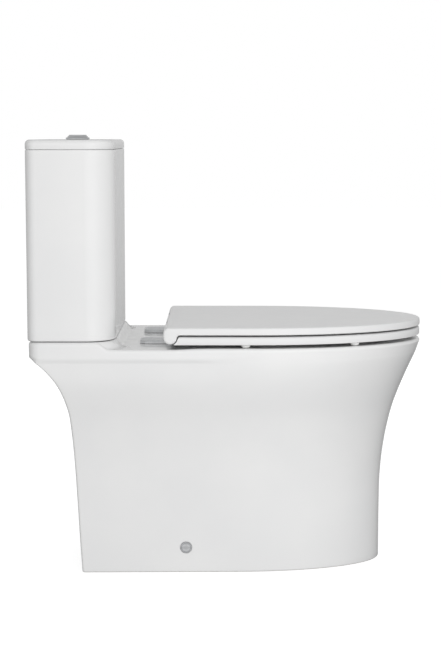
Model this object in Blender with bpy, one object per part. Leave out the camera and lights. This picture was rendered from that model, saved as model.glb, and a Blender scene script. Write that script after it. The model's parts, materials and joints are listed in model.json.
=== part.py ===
"""Close coupled toilet: an open-backed china pan, a cistern with its flush and fill valves, a seat and a lid.

Metres, +Z up, the front of the pan towards -Y. The origin is on the floor, below the middle of the whole box.
Pieces with an empty as their parent move, and the empty stands on the joint's axis.
"""

import math

import bmesh
import bpy
from mathutils import Matrix, Vector

# Driving dimensions
LENGTH = 0.6835
WIDTH = 0.365
BACK = LENGTH / 2
FRONT = -LENGTH / 2
HALF = WIDTH / 2
GAP = 0.0003  # clearance between pieces that touch

# Pan
RIM_TOP = 0.400
RIM_FRONT = FRONT + 0.0002
RIM_BEND = -0.045  # where the straight sides of the rim turn into its half ellipse
LEDGE_BACK = 0.33975
LEDGE_CORNER = 0.020
FOOT_HALF_REAR = 0.127
FOOT_HALF = 0.123
FOOT_FRONT = -0.2725
FOOT_BEND = -0.010
WALL = 0.012
BAND_BOTTOM = 0.3815  # the rim's upright side band ends here
BAND_FADE = (0.060, -0.045)  # the band fades out between these two places along the side
SLAB_BOTTOM = 0.372
SIDE_FULLNESS = 1.6  # above 1, the sides reach the rim's width sooner than the front reaches its length
# height, flare from foot (0) to rim (1), rear edge of the side walls
PAN_PROFILE = (
    (0.003, 0.000, 0.2563),
    (0.060, 0.000, 0.2599),
    (0.130, 0.005, 0.2636),
    (0.174, 0.040, 0.2658),
    (0.218, 0.121, 0.2682),
    (0.250, 0.212, 0.2706),
    (0.280, 0.325, 0.2735),
    (0.308, 0.469, 0.2803),
    (0.335, 0.630, 0.2915),
    (0.354, 0.752, 0.3047),
    (0.368, 0.845, 0.3176),
    (0.3775, 0.905, 0.3290),
    (BAND_BOTTOM, 0.925, 0.3340),
    (0.3865, 0.950, LEDGE_BACK),
    (0.397, 1.000, LEDGE_BACK),
)

# Plinth under the cistern: height, front edge, half width
PLINTH_TOP = 0.4125
PLINTH_PROFILE = (
    (0.392, 0.1815, 0.1820),
    (0.4007, 0.1820, 0.1820),
    (0.4025, 0.1865, 0.1820),
    (0.4055, 0.1886, 0.1820),
    (0.4105, 0.1902, 0.1820),
    (PLINTH_TOP, 0.1915, 0.1805),
)
PLINTH_BACK_CORNER = 0.018
PLINTH_FRONT_CORNER = 0.051

# Bowl: height, half width, rear end, front end
BOWL_PROFILE = (
    (0.405, 0.121, -0.006, -0.287),
    (0.385, 0.121, -0.006, -0.287),
    (0.350, 0.117, -0.010, -0.281),
    (0.300, 0.104, -0.018, -0.264),
    (0.250, 0.084, -0.028, -0.236),
    (0.210, 0.063, -0.036, -0.196),
    (0.180, 0.043, -0.042, -0.150),
    (0.160, 0.027, -0.048, -0.110),
)
BOWL_WALL = 0.011

# Trapway, through its middle: along the pan, height
TRAP_PATH = (
    (-0.080, 0.188),
    (-0.048, 0.186),
    (-0.012, 0.192),
    (0.028, 0.220),
    (0.058, 0.254),
    (0.093, 0.268),
    (0.128, 0.252),
    (0.156, 0.218),
    (0.188, 0.190),
    (0.225, 0.180),
)
TRAP_START = (-0.100, 0.188)  # the bore opens into the bowl a little before the tube
TRAP_BORE = 0.027
TRAP_WALL = 0.009
OUTLET_HEIGHT = 0.180
OUTLET_END = 0.2705
OUTLET_RADIUS = 0.051
OUTLET_BORE = 0.0425

# Flush passage from the cistern to the bowl
FLUSH_Y = 0.26675  # the middle of the cistern, front to back
RECESS_RADIUS = 0.047
RECESS_DEPTH = 0.024
FLUSH_BORE = 0.021

# Cistern
CISTERN_HALF = 0.1800
CISTERN_FRONT = 0.19325
CISTERN_BOTTOM = 0.4135
CISTERN_TOP = 0.7353
CISTERN_WALL = 0.009
CISTERN_FLOOR = 0.4255
CORNER_BACK = 0.018
CORNER_FRONT = 0.050
LID_BOTTOM = CISTERN_TOP + GAP
LID_TOP = 0.752
LID_ROUND = 0.007
HEIGHT = 0.760

# Flush buttons
BUTTON_RADIUS = 0.0212
BUTTON_INNER = 0.0160
BUTTON_SPLIT = 0.0006

# Seat, lid and hinge
HINGE_Y = 0.09975
HINGE_Z = 0.4206
BARREL_RADIUS = 0.0115
BARREL_CLEAR = 0.0130
HINGE_X = 0.0775
SEAT_REAR = 0.10775
LID_UNDER = 0.4245
SEAT_TOP = 0.437
SEAT_BEND = RIM_BEND
RING_BOTTOM = 0.4078
RING_TOP = 0.4215
RING_HOLE = (0.107, -0.004, -0.281)  # half width, rear end, front end
KNUCKLE = (0.0480, 0.0675)
POST = (0.0690, 0.0865)
SLOT = (0.0465, 0.0880)
LID_NOTCH = 0.0075  # behind the hinge line, where the lid is notched so that it clears the posts
PIN_RADIUS = 0.0030
BOLT_Y = 0.1308
PLATE_Y = 0.1208
PLATE_HALF = (0.024, 0.034)
PLATE_CORNER = 0.014
PLATE_TOP = 0.4062
PLATE_WALL = 0.0012
FOOT_TOP = 0.4026  # of the post's foot, under the cover plate
POST_NECK = 0.0055

# Fixings
COUPLING_X = 0.082
COUPLING_Y = 0.262
INLET_X = 0.138
INLET_Y = 0.262
WALL_SCREW_X = 0.105
WALL_SCREW_Z = 0.680
CAP_Y = 0.07475
CAP_Z = 0.0445
CAP_RADIUS = 0.010
CAP_DEPTH = 0.0028  # of the round recess that the cap sits in

RING_BUFFERS = ((0.170, -0.028), (0.137, -0.215))
LID_BUFFERS = ((0.120, -0.185),)


def clear_scene():
    for obj in list(bpy.data.objects):
        bpy.data.objects.remove(obj, do_unlink=True)


def make_material(name, colour, roughness, metallic=0.0):
    made = bpy.data.materials.new(name)
    made.use_nodes = True
    shader = made.node_tree.nodes["Principled BSDF"]
    shader.inputs["Base Color"].default_value = (*colour, 1.0)
    shader.inputs["Roughness"].default_value = roughness
    shader.inputs["Metallic"].default_value = metallic
    made.diffuse_color = (*colour, 1.0)
    return made


def add_mesh(name, vertices, faces, material, location=(0, 0, 0), turn=None):
    """An object from plain vertices and faces, turned about its own origin before it is placed."""
    mesh = bpy.data.meshes.new(name)
    mesh.from_pydata([tuple(v) for v in vertices], [], faces)
    work = bmesh.new()
    work.from_mesh(mesh)
    bmesh.ops.recalc_face_normals(work, faces=work.faces)
    if turn:
        bmesh.ops.transform(work, matrix=turn, verts=work.verts)
    work.to_mesh(mesh)
    work.free()
    mesh.materials.append(material)
    mesh.shade_smooth()
    mesh.set_sharp_from_angle(angle=math.radians(35))
    obj = bpy.data.objects.new(name, mesh)
    obj.location = location
    bpy.context.scene.collection.objects.link(obj)
    return obj


def loft(name, rings, material):
    """A closed solid through rings of equal length, with a flat face on each end."""
    count = len(rings[0])
    vertices = [point for ring in rings for point in ring]
    faces = [tuple(range(count))]
    faces.append(tuple(range(len(vertices) - count, len(vertices))))
    for level in range(len(rings) - 1):
        low = level * count
        for i in range(count):
            j = (i + 1) % count
            faces.append((low + i, low + j, low + count + j, low + count + i))
    return add_mesh(name, vertices, faces, material)


def turned(name, profile, centre, material, turn=None, segments=20):
    """A turned piece. The (radius, height) profile closes on itself, or on the axis where the radius is 0."""
    rows, vertices = [], []
    for radius, height in profile:
        steps = 1 if radius == 0 else segments
        rows.append(range(len(vertices), len(vertices) + steps))
        for i in range(steps):
            angle = 2 * math.pi * i / segments
            vertices.append((radius * math.cos(angle), radius * math.sin(angle), height))
    pairs = list(zip(rows, rows[1:]))
    if profile[0][0] and profile[-1][0]:
        pairs.append((rows[-1], rows[0]))
    faces = []
    for a, b in pairs:
        for i in range(segments):
            j = (i + 1) % segments
            corners = [a[i % len(a)], a[j % len(a)], b[j % len(b)], b[i % len(b)]]
            faces.append(tuple(dict.fromkeys(corners)))
    return add_mesh(name, vertices, [f for f in faces if len(f) > 2], material, centre, turn)


def rod(name, start, end, radius, material, segments=20):
    """A plain round bar between two points."""
    start, end = Vector(start), Vector(end)
    along = end - start
    turn = along.to_track_quat("Z", "Y").to_matrix().to_4x4()
    profile = ((0, 0), (radius, 0), (radius, along.length), (0, along.length))
    return turned(name, profile, start, material, turn, segments)


def box(name, low, high, material):
    corners = [(x, y, z) for z in (low[2], high[2]) for y in (low[1], high[1]) for x in (low[0], high[0])]
    faces = [(0, 1, 3, 2), (4, 5, 7, 6), (0, 1, 5, 4), (2, 3, 7, 6), (0, 2, 6, 4), (1, 3, 7, 5)]
    return add_mesh(name, corners, faces, material)


def pipe(name, path, radius, material):
    """A round tube body along a path of (y, z) points in the middle plane."""
    curve = bpy.data.curves.new(name, "CURVE")
    curve.dimensions = "3D"
    curve.bevel_depth = radius
    curve.bevel_resolution = 3
    curve.use_fill_caps = True
    spline = curve.splines.new("POLY")
    spline.points.add(len(path) - 1)
    for point, (y, z) in zip(spline.points, path):
        point.co = (0, y, z, 1)
    guide = bpy.data.objects.new(name + "_guide", curve)
    bpy.context.scene.collection.objects.link(guide)
    bpy.context.view_layer.update()
    graph = bpy.context.evaluated_depsgraph_get()
    mesh = bpy.data.meshes.new_from_object(guide.evaluated_get(graph))
    bpy.data.objects.remove(guide, do_unlink=True)
    work = bmesh.new()
    work.from_mesh(mesh)
    bmesh.ops.remove_doubles(work, verts=work.verts, dist=0.00001)
    bmesh.ops.recalc_face_normals(work, faces=work.faces)
    work.to_mesh(mesh)
    work.free()
    mesh.materials.append(material)
    obj = bpy.data.objects.new(name, mesh)
    bpy.context.scene.collection.objects.link(obj)
    return obj


def flat_nut(name, centre, bore, radius, low, high, sides, material):
    """A nut with a few flat sides and a round bore."""
    x, y, _ = centre
    nut = rod(name, (x, y, low), (x, y, high), radius, material, sides)
    return cut(nut, rod(f"{name}_bore", (x, y, low - 0.002), (x, y, high + 0.002), bore, material, 32))


def combine(target, operation, *tools):
    """Adds, or takes away, each tool with a Boolean that stays on the target."""
    for tool in tools:
        modifier = target.modifiers.new(f"{operation.lower()} {tool.name}", "BOOLEAN")
        modifier.operation = operation
        modifier.solver = "EXACT"
        modifier.object = tool
        tool.hide_render = True
        tool.display_type = "WIRE"
    return target


def add(target, *tools):
    return combine(target, "UNION", *tools)


def cut(target, *tools):
    return combine(target, "DIFFERENCE", *tools)


def joined(name, pieces):
    """One cutter from several that don't touch."""
    work = bmesh.new()
    for piece in pieces:
        piece.data.transform(Matrix.Translation(piece.location))
        work.from_mesh(piece.data)
        bpy.data.objects.remove(piece, do_unlink=True)
    mesh = bpy.data.meshes.new(name)
    work.to_mesh(mesh)
    work.free()
    obj = bpy.data.objects.new(name, mesh)
    bpy.context.scene.collection.objects.link(obj)
    return obj


def joint_empty(name, location):
    empty = bpy.data.objects.new(name, None)
    empty.location = location
    empty.empty_display_size = 0.02
    bpy.context.scene.collection.objects.link(empty)
    return empty


def carry(empty, *pieces):
    """Parents pieces to a joint's empty without moving them."""
    for piece in pieces:
        piece.parent = empty
        piece.location = piece.location - empty.location


def arc(centre, radius, start, end, steps):
    """Points round part of an ellipse, angles in degrees. The radius may be one number or two."""
    across, along = radius if isinstance(radius, tuple) else (radius, radius)
    points = []
    for i in range(steps + 1):
        angle = math.radians(start + (end - start) * i / steps)
        points.append((centre[0] + across * math.cos(angle), centre[1] + along * math.sin(angle)))
    return points


def mirrored(half):
    """A whole outline from the half on the +X side, whose first and last points are on the centre line."""
    return half + [(-x, y) for x, y in reversed(half[1:-1])]


def d_plan(half, back, corner, bend, front, side=4, turn=12):
    """The outline of a D: a straight back, straight sides and a half ellipse at the front."""
    half_at = half if callable(half) else lambda y: half
    points = [(0, back)]
    points += arc((half_at(back) - corner, back - corner), corner, 90, 0, 3)
    start = back - corner
    for i in range(1, side + 1):
        y = start + (bend - start) * i / side
        points.append((half_at(y), y))
    points += arc((0, bend), (half_at(bend), bend - front), 0, -90, turn)[1:]
    points[-1] = (0, front)
    return mirrored(points)


def tank_plan(inset=0.0):
    """The outline of the cistern, with small corners at the wall and large ones at the front."""
    half = CISTERN_HALF - inset
    back, front = BACK - inset, CISTERN_FRONT + inset
    small, large = max(CORNER_BACK - inset, 0.002), CORNER_FRONT - inset
    points = [(0, back)]
    points += arc((half - small, back - small), small, 90, 0, 4)
    points += arc((half - large, front + large), large, 0, -90, 8)
    points.append((0, front))
    return mirrored(points)


def oval(half, rear, front, inset=0.0, steps=32):
    radii = (half - inset, (rear - front) / 2 - inset)
    return arc((0, (rear + front) / 2), radii, 0, 360 * (steps - 1) / steps, steps - 1)


def at(height, plan):
    return [(x, y, height) for x, y in plan]


def seat_plan(inset=0.0, rear=SEAT_REAR):
    return d_plan(HALF - inset, rear, 0.001, SEAT_BEND, FRONT + inset, 3, 14)


def blend_between(value, start, end):
    share = min(max((value - start) / (end - start), 0.0), 1.0)
    return share * share * (3 - 2 * share)


def side_half(flare):
    """The skirt's half width at one level, where the front has flared by this share."""
    return HALF - (HALF - FOOT_HALF) * (1 - flare) ** SIDE_FULLNESS


def pan_ring(height, flare, back, inset=0.0):
    """One level of the pan's outer skin. The side band stays upright at the rear and fades out forwards."""
    foot_side = side_half(flare) - inset
    bend = FOOT_BEND + (RIM_BEND - FOOT_BEND) * flare
    front = FOOT_FRONT + (RIM_FRONT - FOOT_FRONT) * flare + inset

    def half_at(y):
        taper = (FOOT_HALF_REAR - FOOT_HALF) * (1 - flare) * min(max((y - bend) / (0.26 - bend), 0), 1)
        skin = foot_side + taper
        if height < BAND_BOTTOM:
            return skin
        band = 1 - blend_between(y, *BAND_FADE)
        return skin + (HALF - inset - skin) * band

    corner = LEDGE_CORNER if height > BAND_BOTTOM else 0.003
    return at(height, d_plan(half_at, back - inset, corner, bend, front, 7, 12))


def pan_hollow(material):
    """The space inside the skirt. It runs out through the floor and through the open back."""
    rings = []
    for height, flare, _ in PAN_PROFILE:
        if height > SLAB_BOTTOM:
            break
        bend = FOOT_BEND + (RIM_BEND - FOOT_BEND) * flare
        half = side_half(flare) - WALL
        front = FOOT_FRONT + (RIM_FRONT - FOOT_FRONT) * flare + WALL
        rings.append(at(height, d_plan(half, 0.40, 0.002, bend, front, 5, 12)))
    rings[0] = [(x, y, -0.010) for x, y, _ in rings[0]]
    rings.append([(x, y, SLAB_BOTTOM) for x, y, _ in rings[-1]])
    return loft("pan_hollow", rings, material)


def make_pan(china):
    rings = [pan_ring(0.0, 0.0, PAN_PROFILE[0][2], 0.003)]
    rings += [pan_ring(*level) for level in PAN_PROFILE]
    rings.append(pan_ring(RIM_TOP, 1.0, LEDGE_BACK, 0.003))
    pan = loft("pan", rings, china)

    plinth_rings = []
    for height, front, half in PLINTH_PROFILE:
        back = LEDGE_BACK - (HALF - half)
        small, large = PLINTH_BACK_CORNER, PLINTH_FRONT_CORNER
        plan = [(0, back)] + arc((half - small, back - small), small, 90, 0, 4)
        plan += arc((half - large, front + large), large, 0, -90, 8) + [(0, front)]
        plinth_rings.append(at(height, mirrored(plan)))
    plinth = loft("plinth", plinth_rings, china)

    bowl_levels = [level for level in BOWL_PROFILE if level[0] < 0.39]
    outside = [at(0.380, oval(*bowl_levels[0][1:], -BOWL_WALL))]
    outside += [at(height, oval(*shape, -BOWL_WALL)) for height, *shape in bowl_levels[1:]]
    outside.append(at(0.148, oval(*bowl_levels[-1][1:])))
    bowl = loft("bowl_outside", outside, china)
    trap = pipe("trap_outside", TRAP_PATH, TRAP_BORE + TRAP_WALL, china)
    start, end = (0, 0.208, OUTLET_HEIGHT), (0, OUTLET_END, OUTLET_HEIGHT)
    spigot = rod("spigot_outside", start, end, OUTLET_RADIUS, china, 28)
    passage = box("flush_outside", (-0.036, -0.002, 0.343), (0.036, 0.326, 0.376), china)

    hollow = [at(height, oval(*shape)) for height, *shape in BOWL_PROFILE]
    bowl_space = loft("bowl_space", hollow, china)
    trap_space = pipe("trap_space", (TRAP_START,) + TRAP_PATH[1:], TRAP_BORE, china)
    start, end = (0, 0.222, OUTLET_HEIGHT), (0, 0.30, OUTLET_HEIGHT)
    outlet_space = rod("outlet_space", start, end, OUTLET_BORE, china, 28)
    start, end = (0, FLUSH_Y, PLINTH_TOP - RECESS_DEPTH), (0, FLUSH_Y, 0.43)
    recess = rod("recess", start, end, RECESS_RADIUS, china, 32)
    drop = rod("flush_drop", (0, FLUSH_Y, 0.357), (0, FLUSH_Y, 0.40), FLUSH_BORE, china)
    channel = box("flush_channel", (-0.022, -0.040, 0.355), (0.022, FLUSH_Y, 0.380), china)

    holes = [rod("inlet_hole", (INLET_X, INLET_Y, 0.33), (INLET_X, INLET_Y, 0.43), 0.017, china, 20)]
    for side in (-1, 1):
        for x, y in ((side * COUPLING_X, COUPLING_Y), (side * HINGE_X, BOLT_Y)):
            holes.append(rod("bolt_hole", (x, y, 0.33), (x, y, 0.43), 0.0058, china, 16))
        start = 0.090
        depth, wide = cap_face() - CAP_DEPTH - start, CAP_RADIUS + 0.0006
        profile = ((0, 0), (0.0042, 0), (0.0042, depth), (wide, depth), (wide, 0.07), (0, 0.07))
        turn = Matrix.Rotation(side * math.pi / 2, 4, "Y")
        holes.append(turned("side_hole", profile, (side * start, CAP_Y, CAP_Z), china, turn, 20))

    add(pan, plinth)
    cut(pan, pan_hollow(china))
    add(pan, bowl, trap, spigot, passage)
    cut(pan, bowl_space, trap_space, outlet_space, recess, drop, channel, joined("pan_holes", holes))
    return pan


def cap_face():
    """The skirt's outer half width at the side fixing caps."""
    share = (CAP_Y - FOOT_BEND) / (0.26 - FOOT_BEND)
    return FOOT_HALF + (FOOT_HALF_REAR - FOOT_HALF) * share


def make_cistern(china):
    edge = 0.004
    rings = [at(CISTERN_BOTTOM, tank_plan(edge)), at(CISTERN_BOTTOM + edge, tank_plan())]
    rings += [at(CISTERN_TOP - 0.0015, tank_plan()), at(CISTERN_TOP, tank_plan(0.0015))]
    cistern = loft("cistern", rings, china)
    inside = [at(CISTERN_FLOOR, tank_plan(CISTERN_WALL)), at(0.76, tank_plan(CISTERN_WALL))]
    cut(cistern, loft("cistern_space", inside, china))
    places = [(0, FLUSH_Y, 0.0295), (INLET_X, INLET_Y, 0.0110)]
    places += [(side * COUPLING_X, COUPLING_Y, 0.0055) for side in (-1, 1)]
    for number, (x, y, radius) in enumerate(places):
        hole = rod(f"cistern_hole_{number}", (x, y, 0.40), (x, y, 0.44), radius, china, 24)
        cut(cistern, hole)
    for side in (-1, 1):
        x = side * WALL_SCREW_X
        start, end = (x, BACK - 0.02, WALL_SCREW_Z), (x, BACK + 0.01, WALL_SCREW_Z)
        cut(cistern, rod(f"wall_screw_hole_{side}", start, end, 0.0040, china, 16))
    return cistern


def make_cistern_lid(china):
    rings = [at(LID_BOTTOM, tank_plan(0.001)), at(LID_BOTTOM + 0.001, tank_plan())]
    for angle in (0, 30, 60, 90):
        inset = LID_ROUND * (1 - math.cos(math.radians(angle)))
        height = LID_TOP - LID_ROUND + LID_ROUND * math.sin(math.radians(angle))
        rings.append(at(height, tank_plan(inset)))
    lid = loft("cistern_lid", rings, china)
    lip = CISTERN_WALL + 0.002
    skirt_levels = (LID_BOTTOM - 0.008, LID_BOTTOM + 0.003)
    skirt = loft("lid_skirt", [at(height, tank_plan(lip)) for height in skirt_levels], china)
    under = lip + 0.008
    hollow_levels = (0.72, LID_BOTTOM + 0.005)
    hollow = loft("lid_hollow", [at(height, tank_plan(under)) for height in hollow_levels], china)
    hole = rod("lid_hole", (0, FLUSH_Y, 0.72), (0, FLUSH_Y, 0.77), 0.0190, china, 32)
    return cut(add(lid, skirt), hollow, hole)


def half_disc(side, radius, split, start, end, name, material):
    """One half of a round button, split across the cistern's width."""
    plan = arc((0, 0), radius, 0, 180, 14)
    plan = [(x, max(y, split)) for x, y in plan]
    points = [(side * y, FLUSH_Y + x) for x, y in plan]
    return loft(name, [at(start, points), at(end, points)], material)


def make_buttons(chrome, plastic):
    housing_profile = (
        (0.0164, 0.7480),
        (0.0164, 0.7575),
        (0.0178, 0.7580),
        (BUTTON_RADIUS, 0.7545),
        (BUTTON_RADIUS, LID_TOP + GAP),
        (0.0186, LID_TOP + GAP),
        (0.0186, 0.7260),
        (0.0172, 0.7260),
        (0.0172, 0.7480),
    )
    housing = turned("button_housing", housing_profile, (0, FLUSH_Y, 0), chrome, None, 36)
    nut = flat_nut("button_lock_nut", (0, FLUSH_Y, 0), 0.0190, 0.0270, 0.7290, 0.7360, 8, plastic)
    buttons = []
    for name, side in (("full_flush_button", 1), ("half_flush_button", -1)):
        button = half_disc(side, BUTTON_INNER, BUTTON_SPLIT / 2, 0.7500, HEIGHT, name, chrome)
        x = side * 0.0075
        rod_end = rod(f"{name}_rod", (x, FLUSH_Y, 0.6630), (x, FLUSH_Y, 0.7510), 0.0028, plastic, 12)
        buttons.append(add(button, rod_end))
    return housing, nut, buttons


def make_flush_valve(plastic, rubber):
    centre = (0, FLUSH_Y, 0)
    base_profile = (
        (0.0205, 0.3960),
        (0.0285, 0.3960),
        (0.0285, CISTERN_FLOOR + 0.0023),
        (0.0400, CISTERN_FLOOR + 0.0023),
        (0.0400, CISTERN_FLOOR + 0.0063),
        (0.0270, CISTERN_FLOOR + 0.0063),
        (0.0250, 0.4420),
        (0.0205, 0.4420),
    )
    base = turned("flush_valve_base", base_profile, centre, plastic, None, 24)
    washer_profile = (
        (0.0290, CISTERN_FLOOR + GAP),
        (0.0400, CISTERN_FLOOR + GAP),
        (0.0400, CISTERN_FLOOR + 0.0020),
        (0.0290, CISTERN_FLOOR + 0.0020),
    )
    turned("flush_valve_washer", washer_profile, centre, rubber, None, 24)
    for angle in (45, 135, 225, 315):
        x, y = 0.0330 * math.cos(math.radians(angle)), 0.0330 * math.sin(math.radians(angle))
        low, high = (x - 0.003, FLUSH_Y + y - 0.003, 0.4300), (x + 0.003, FLUSH_Y + y + 0.003, 0.6450)
        add(base, box(f"valve_pillar_{angle}", low, high, plastic))
    head_profile = ((0.0200, 0.6400), (0.0400, 0.6400), (0.0400, 0.6500), (0.0200, 0.6500))
    add(base, turned("valve_head_ring", head_profile, centre, plastic, None, 24))
    flat_nut("flush_valve_nut", centre, 0.0290, 0.0400, 0.4035, 0.4131, 8, plastic)
    gasket_profile = (
        (0.0292, 0.3890),
        (0.0292, 0.4030),
        (0.0400, 0.4030),
        (0.0450, 0.3985),
        (0.0450, 0.3925),
        (0.0420, 0.3890),
    )
    turned("doughnut_gasket", gasket_profile, centre, rubber, None, 24)
    tube_profile = (
        (0.0150, 0.4470),
        (0.0260, 0.4470),
        (0.0260, 0.4495),
        (0.0185, 0.4520),
        (0.0185, 0.6540),
        (0.0150, 0.6540),
    )
    tube = turned("overflow_tube", tube_profile, centre, plastic, None, 24)
    seal_profile = ((0.0150, 0.4424), (0.0262, 0.4424), (0.0262, 0.4467), (0.0150, 0.4467))
    seal = turned("flush_seal", seal_profile, centre, rubber, None, 24)
    carry(joint_empty("flush_valve_axis", (0, FLUSH_Y, 0.4424)), tube, seal)


def make_fill_valve(plastic, rubber):
    centre = (INLET_X, INLET_Y, 0)
    body_profile = (
        (0.0050, 0.3640),
        (0.0098, 0.3640),
        (0.0098, CISTERN_FLOOR + 0.0023),
        (0.0165, CISTERN_FLOOR + 0.0023),
        (0.0165, CISTERN_FLOOR + 0.0073),
        (0.0090, CISTERN_FLOOR + 0.0093),
        (0.0090, 0.5340),
        (0.0125, 0.5340),
        (0.0125, 0.5390),
        (0.0090, 0.5390),
        (0.0090, 0.6600),
        (0.0150, 0.6600),
        (0.0150, 0.6900),
        (0.0050, 0.6900),
    )
    turned("fill_valve_body", body_profile, centre, plastic)
    washer_profile = (
        (0.0102, CISTERN_FLOOR + GAP),
        (0.0165, CISTERN_FLOOR + GAP),
        (0.0165, CISTERN_FLOOR + 0.0020),
        (0.0102, CISTERN_FLOOR + 0.0020),
    )
    turned("fill_valve_washer", washer_profile, centre, rubber)
    flat_nut("fill_valve_nut", centre, 0.0102, 0.0160, 0.4032, 0.4131, 6, plastic)
    float_profile = ((0.0096, 0.5400), (0.0230, 0.5400), (0.0230, 0.5950), (0.0096, 0.5950))
    cup = turned("fill_valve_float", float_profile, centre, plastic)
    carry(joint_empty("float_axis", (INLET_X, INLET_Y, 0.5400)), cup)


def make_coupling(steel, rubber, plastic):
    """The two bolts that hold the cistern down on the plinth."""
    for side, word in ((-1, "left"), (1, "right")):
        centre = (side * COUPLING_X, COUPLING_Y, 0)
        bolt_profile = (
            (0, 0.3450),
            (0.0040, 0.3450),
            (0.0040, 0.4288),
            (0.0100, 0.4288),
            (0.0100, 0.4320),
            (0.0070, 0.4345),
            (0, 0.4350),
        )
        turned(f"coupling_bolt_{word}", bolt_profile, centre, steel, None, 16)
        washer_profile = ((0.0046, 0.4258), (0.0046, 0.4285), (0.0125, 0.4285), (0.0125, 0.4258))
        turned(f"coupling_washer_{word}", washer_profile, centre, rubber, None, 20)
        wing_nut(f"coupling_wing_nut_{word}", centre, 0.3716, plastic)


def wing_nut(name, centre, top, plastic):
    """A round nut with two flat wings, tightened by hand from below."""
    x, y, _ = centre
    body_profile = ((0.0044, top - 0.013), (0.0044, top), (0.0100, top), (0.0080, top - 0.013))
    nut = turned(name, body_profile, centre, plastic, None, 20)
    low, high = (0.0072, y - 0.0015, top - 0.018), (0.0190, y + 0.0015, top - 0.003)
    for side in (-1, 1):
        near, far = sorted((x + side * low[0], x + side * high[0]))
        add(nut, box(f"{name}_wing_{side}", (near, low[1], low[2]), (far, high[1], high[2]), plastic))
    return nut


def barrel(name, start, end, radius, material, segments=24):
    return rod(name, (start, HINGE_Y, HINGE_Z), (end, HINGE_Y, HINGE_Z), radius, material, segments)


def extrusion(name, section, start, end, material):
    """A section of (y, z) points drawn out along X."""
    return loft(name, [[(x, y, z) for y, z in section] for x in (start, end)], material)


def lid_roll(plastic):
    """The lid's rear edge, rolled down round the hinge."""
    top = SEAT_TOP - 0.0001
    rear = HINGE_Y + BARREL_RADIUS
    section = [(HINGE_Y - 0.020, top), (rear - 0.009, top)]
    section += arc((rear - 0.009, top - 0.009), 0.009, 90, 0, 4)[1:]
    section += arc((HINGE_Y, HINGE_Z), BARREL_RADIUS, 0, -200, 14)
    section.append((HINGE_Y - 0.020, LID_UNDER + 0.0005))
    return extrusion("lid_roll", section, -HALF + 0.0004, HALF - 0.0004, plastic)


def make_lid(plastic):
    levels = ((LID_UNDER, 0.0015), (LID_UNDER + 0.0015, 0), (0.4335, 0), (0.4359, 0.001))
    levels += ((SEAT_TOP, 0.0035),)
    rear = SEAT_REAR - 0.012
    lid = loft("seat_lid", [at(height, seat_plan(inset, rear)) for height, inset in levels], plastic)
    dish = d_plan(HALF - 0.011, 0.070, 0.020, SEAT_BEND, FRONT + 0.011, 3, 14)
    recess = loft("lid_dish", [at(0.420, dish), at(LID_UNDER + 0.0045, dish)], plastic)
    tools = []
    for side in (-1, 1):
        start, end = sorted((side * SLOT[0], side * SLOT[1]))
        tools.append(barrel(f"lid_slot_{side}", start, end, BARREL_CLEAR, plastic))
        low, high = (start, HINGE_Y - 0.0130, 0.400), (end, HINGE_Y + 0.02, HINGE_Z)
        tools.append(box(f"lid_slot_under_{side}", low, high, plastic))
        low, high = (start, HINGE_Y + LID_NOTCH, 0.400), (end, HINGE_Y + 0.03, SEAT_TOP + 0.01)
        tools.append(box(f"lid_notch_{side}", low, high, plastic))
        tools.append(barrel(f"lid_bore_{side}", side * 0.034, side * 0.102, PIN_RADIUS + GAP, plastic, 16))
    cut(add(lid, lid_roll(plastic)), recess, *tools)
    buffers = []
    for x, y in LID_BUFFERS:
        for side, word in ((-1, "left"), (1, "right")):
            buffers.append(buffer(f"lid_buffer_{word}", (side * x, y), RING_TOP + GAP, LID_UNDER + 0.0042))
    return lid, buffers


def buffer(name, place, low, high):
    """A small domed rubber foot, lying lengthways under the ring or the lid."""
    height = high - low
    profile = ((0, 0), (0.0050, 0), (0.0065, 0.35 * height), (0.0065, height), (0, height))
    foot = turned(name, profile, (*place, low), bpy.data.materials["rubber"], None, 16)
    foot.data.transform(Matrix.Diagonal((1, 1.2, 1, 1)))
    return foot


def make_ring(plastic):
    levels = ((RING_BOTTOM, 0.0015), (RING_BOTTOM + 0.0015, 0.0005), (RING_TOP - 0.004, 0.0005))
    levels += ((RING_TOP - 0.0013, 0.0015), (RING_TOP, 0.005))
    rings = [at(height, seat_plan(inset, HINGE_Y - 0.006)) for height, inset in levels]
    ring = loft("seat_ring", rings, plastic)
    knuckles = []
    for side in (-1, 1):
        near, far = side * KNUCKLE[0], side * KNUCKLE[1]
        low, high = (min(near, far), HINGE_Y - 0.022, 0.4085), (max(near, far), HINGE_Y, 0.4185)
        knuckles.append(barrel(f"ring_knuckle_{side}", near, far, 0.0105, plastic))
        knuckles.append(box(f"ring_arm_{side}", low, high, plastic))
    cut(ring, barrel("ring_clearance", -0.2, 0.2, BARREL_CLEAR, plastic, 32))
    hole_levels = ((RING_BOTTOM - 0.004, 0), (RING_TOP - 0.0045, 0), (RING_TOP + 0.0055, -0.006))
    hole = [at(height, oval(*RING_HOLE, inset)) for height, inset in hole_levels]
    cut(ring, loft("ring_hole", hole, plastic))
    under = d_plan(HALF - 0.012, 0.062, 0.010, SEAT_BEND, FRONT + 0.012, 3, 14)
    channel = loft("ring_channel", [at(0.400, under), at(RING_BOTTOM + 0.0025, under)], plastic)
    land = loft("ring_land", [at(height, oval(*RING_HOLE, -0.010)) for height in (0.399, 0.412)], plastic)
    cut(ring, cut(channel, land))
    add(ring, *knuckles)
    cut(ring, barrel("ring_bore", -0.08, 0.08, PIN_RADIUS + GAP, plastic, 16))
    buffers = []
    for number, (x, y) in enumerate(RING_BUFFERS):
        for side, word in ((-1, "left"), (1, "right")):
            place = ("rear", "front")[number]
            low, high = RIM_TOP + GAP, RING_BOTTOM - GAP
            buffers.append(buffer(f"ring_buffer_{place}_{word}", (side * x, y), low, high))
    return ring, buffers


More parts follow.
